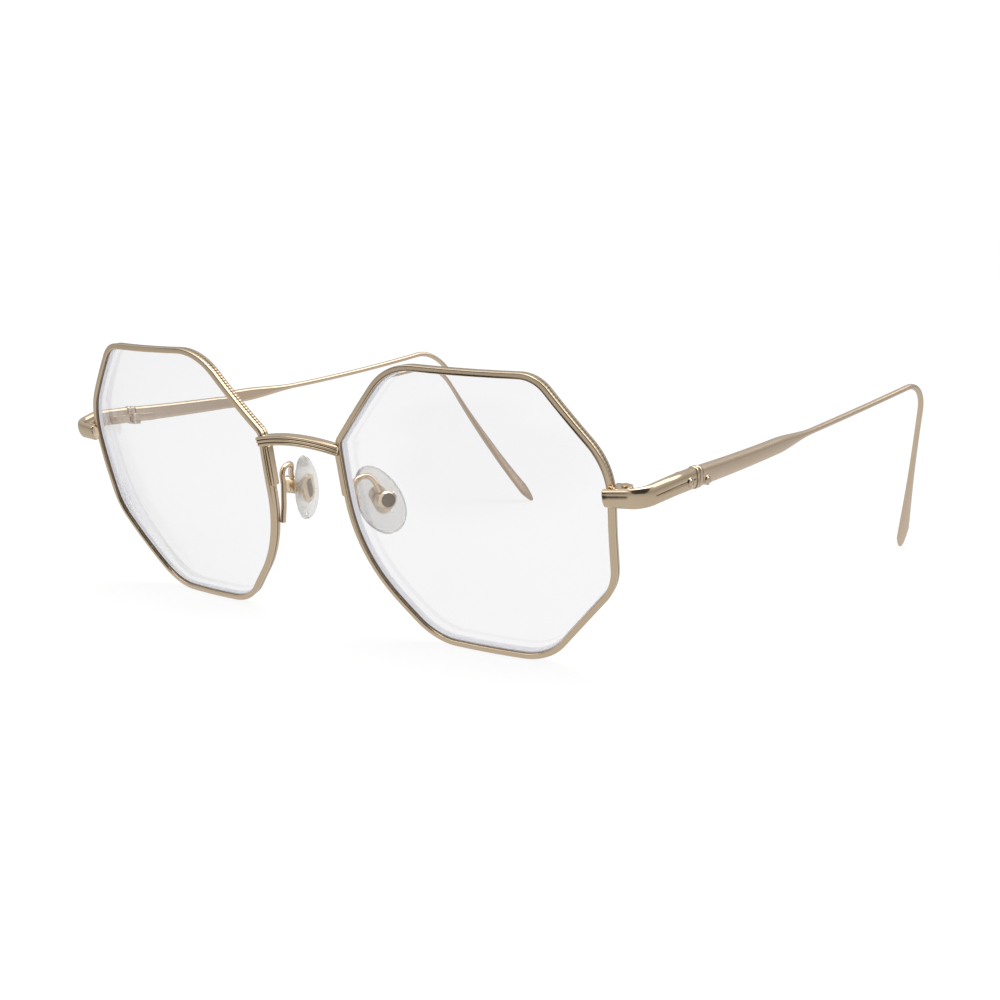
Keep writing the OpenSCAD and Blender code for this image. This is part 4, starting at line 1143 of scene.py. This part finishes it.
def stud_seat(back, low):
    """A narrow ring round a stud, turned from its profile and set into the side of the bar."""
    clear_selection()
    bpy.ops.mesh.primitive_circle_add(vertices=len(RING_PROFILE), radius=MM, fill_type="NOTHING")
    ring = bpy.context.object
    bpy.ops.object.mode_set(mode="EDIT")
    mesh = bmesh.from_edit_mesh(ring.data)
    mesh.verts.ensure_lookup_table()
    for vert, (radius, height) in zip(mesh.verts, RING_PROFILE):
        vert.co = Vector((height - RING_SUNK, radius, 0)) * MM
    bmesh.update_edit_mesh(ring.data)
    bpy.ops.mesh.select_all(action="SELECT")
    bpy.ops.mesh.spin(steps=32, angle=2 * pi, center=(0, 0, 0), axis=(1, 0, 0))
    bpy.ops.mesh.select_all(action="SELECT")
    bpy.ops.mesh.remove_doubles(threshold=SAME_PLACE)
    end_editing()
    ring.data.materials.append(FITTING)
    place = from_hinge(BAR_OFF + BAR_T / 2, back, -low)
    moved_by(ring, Matrix.Translation(place * MM) @ HINGE_TURN)
    return smoothed(moved_by(ring, STAND), 30)


# ---- assembly ----------------------------------------------------------------------------------

pair(rim_wire(), "rim_wire", "rim", "front")
pair(clear_lens(), "clear_lens", "lens", "front")
finished(reeded_bridge(), "front", "bridge")
pair(nasal_bar(), "nasal_strip", "nasal_bar", "front")
pair(end_piece(), "end_bar", "end_piece", "front")
pair(temple(), "temple_bar", "temple", "temple")
pair(pad_arm(), "pad_arm_wire", "pad_arm", "front")
pair(nose_pad(), "soft_pad", "nose_pad", "pad")
# Parts as drawn: body, width of the eased edges, look and slot
for node, body, edge, material, slot_name in (
    ("closing_block_upper", "front", 0.15, FITTING, "polished_gold"),
    ("closing_block_lower", "front", 0.12, FITTING, "polished_gold"),
    ("rim_screw", "front", 0.04, FITTING, "screw_gold"),
    ("end_stud", "front", 0.05, FITTING, "screw_gold"),
    ("temple_stud", "temple", 0.05, FITTING, "screw_gold"),
    ("pad_screw", "front", 0.03, FITTING, "screw_gold"),
    ("hinge_front", "front", 0.07, POLISHED, "polished_gold"),
    ("hinge_temple", "temple", 0.07, SATIN, "satin_gold"),
    ("hinge_screw", "front", 0.04, FITTING, "screw_gold"),
):
    label = node + "_eased"
    pair(eased(node + "_left", label, edge, material), label, node, body)

pair(cup(), "pad_cup", "pad_box", "front")
pair(core(), "pad_core_eased", "pad_core", "pad")
pair(stud_seat(-3.2, 0.3), "end_stud_seat", "end_stud", "front")
pair(stud_seat(2.6, 0.8), "temple_stud_seat", "temple_stud", "temple")

clear_selection()
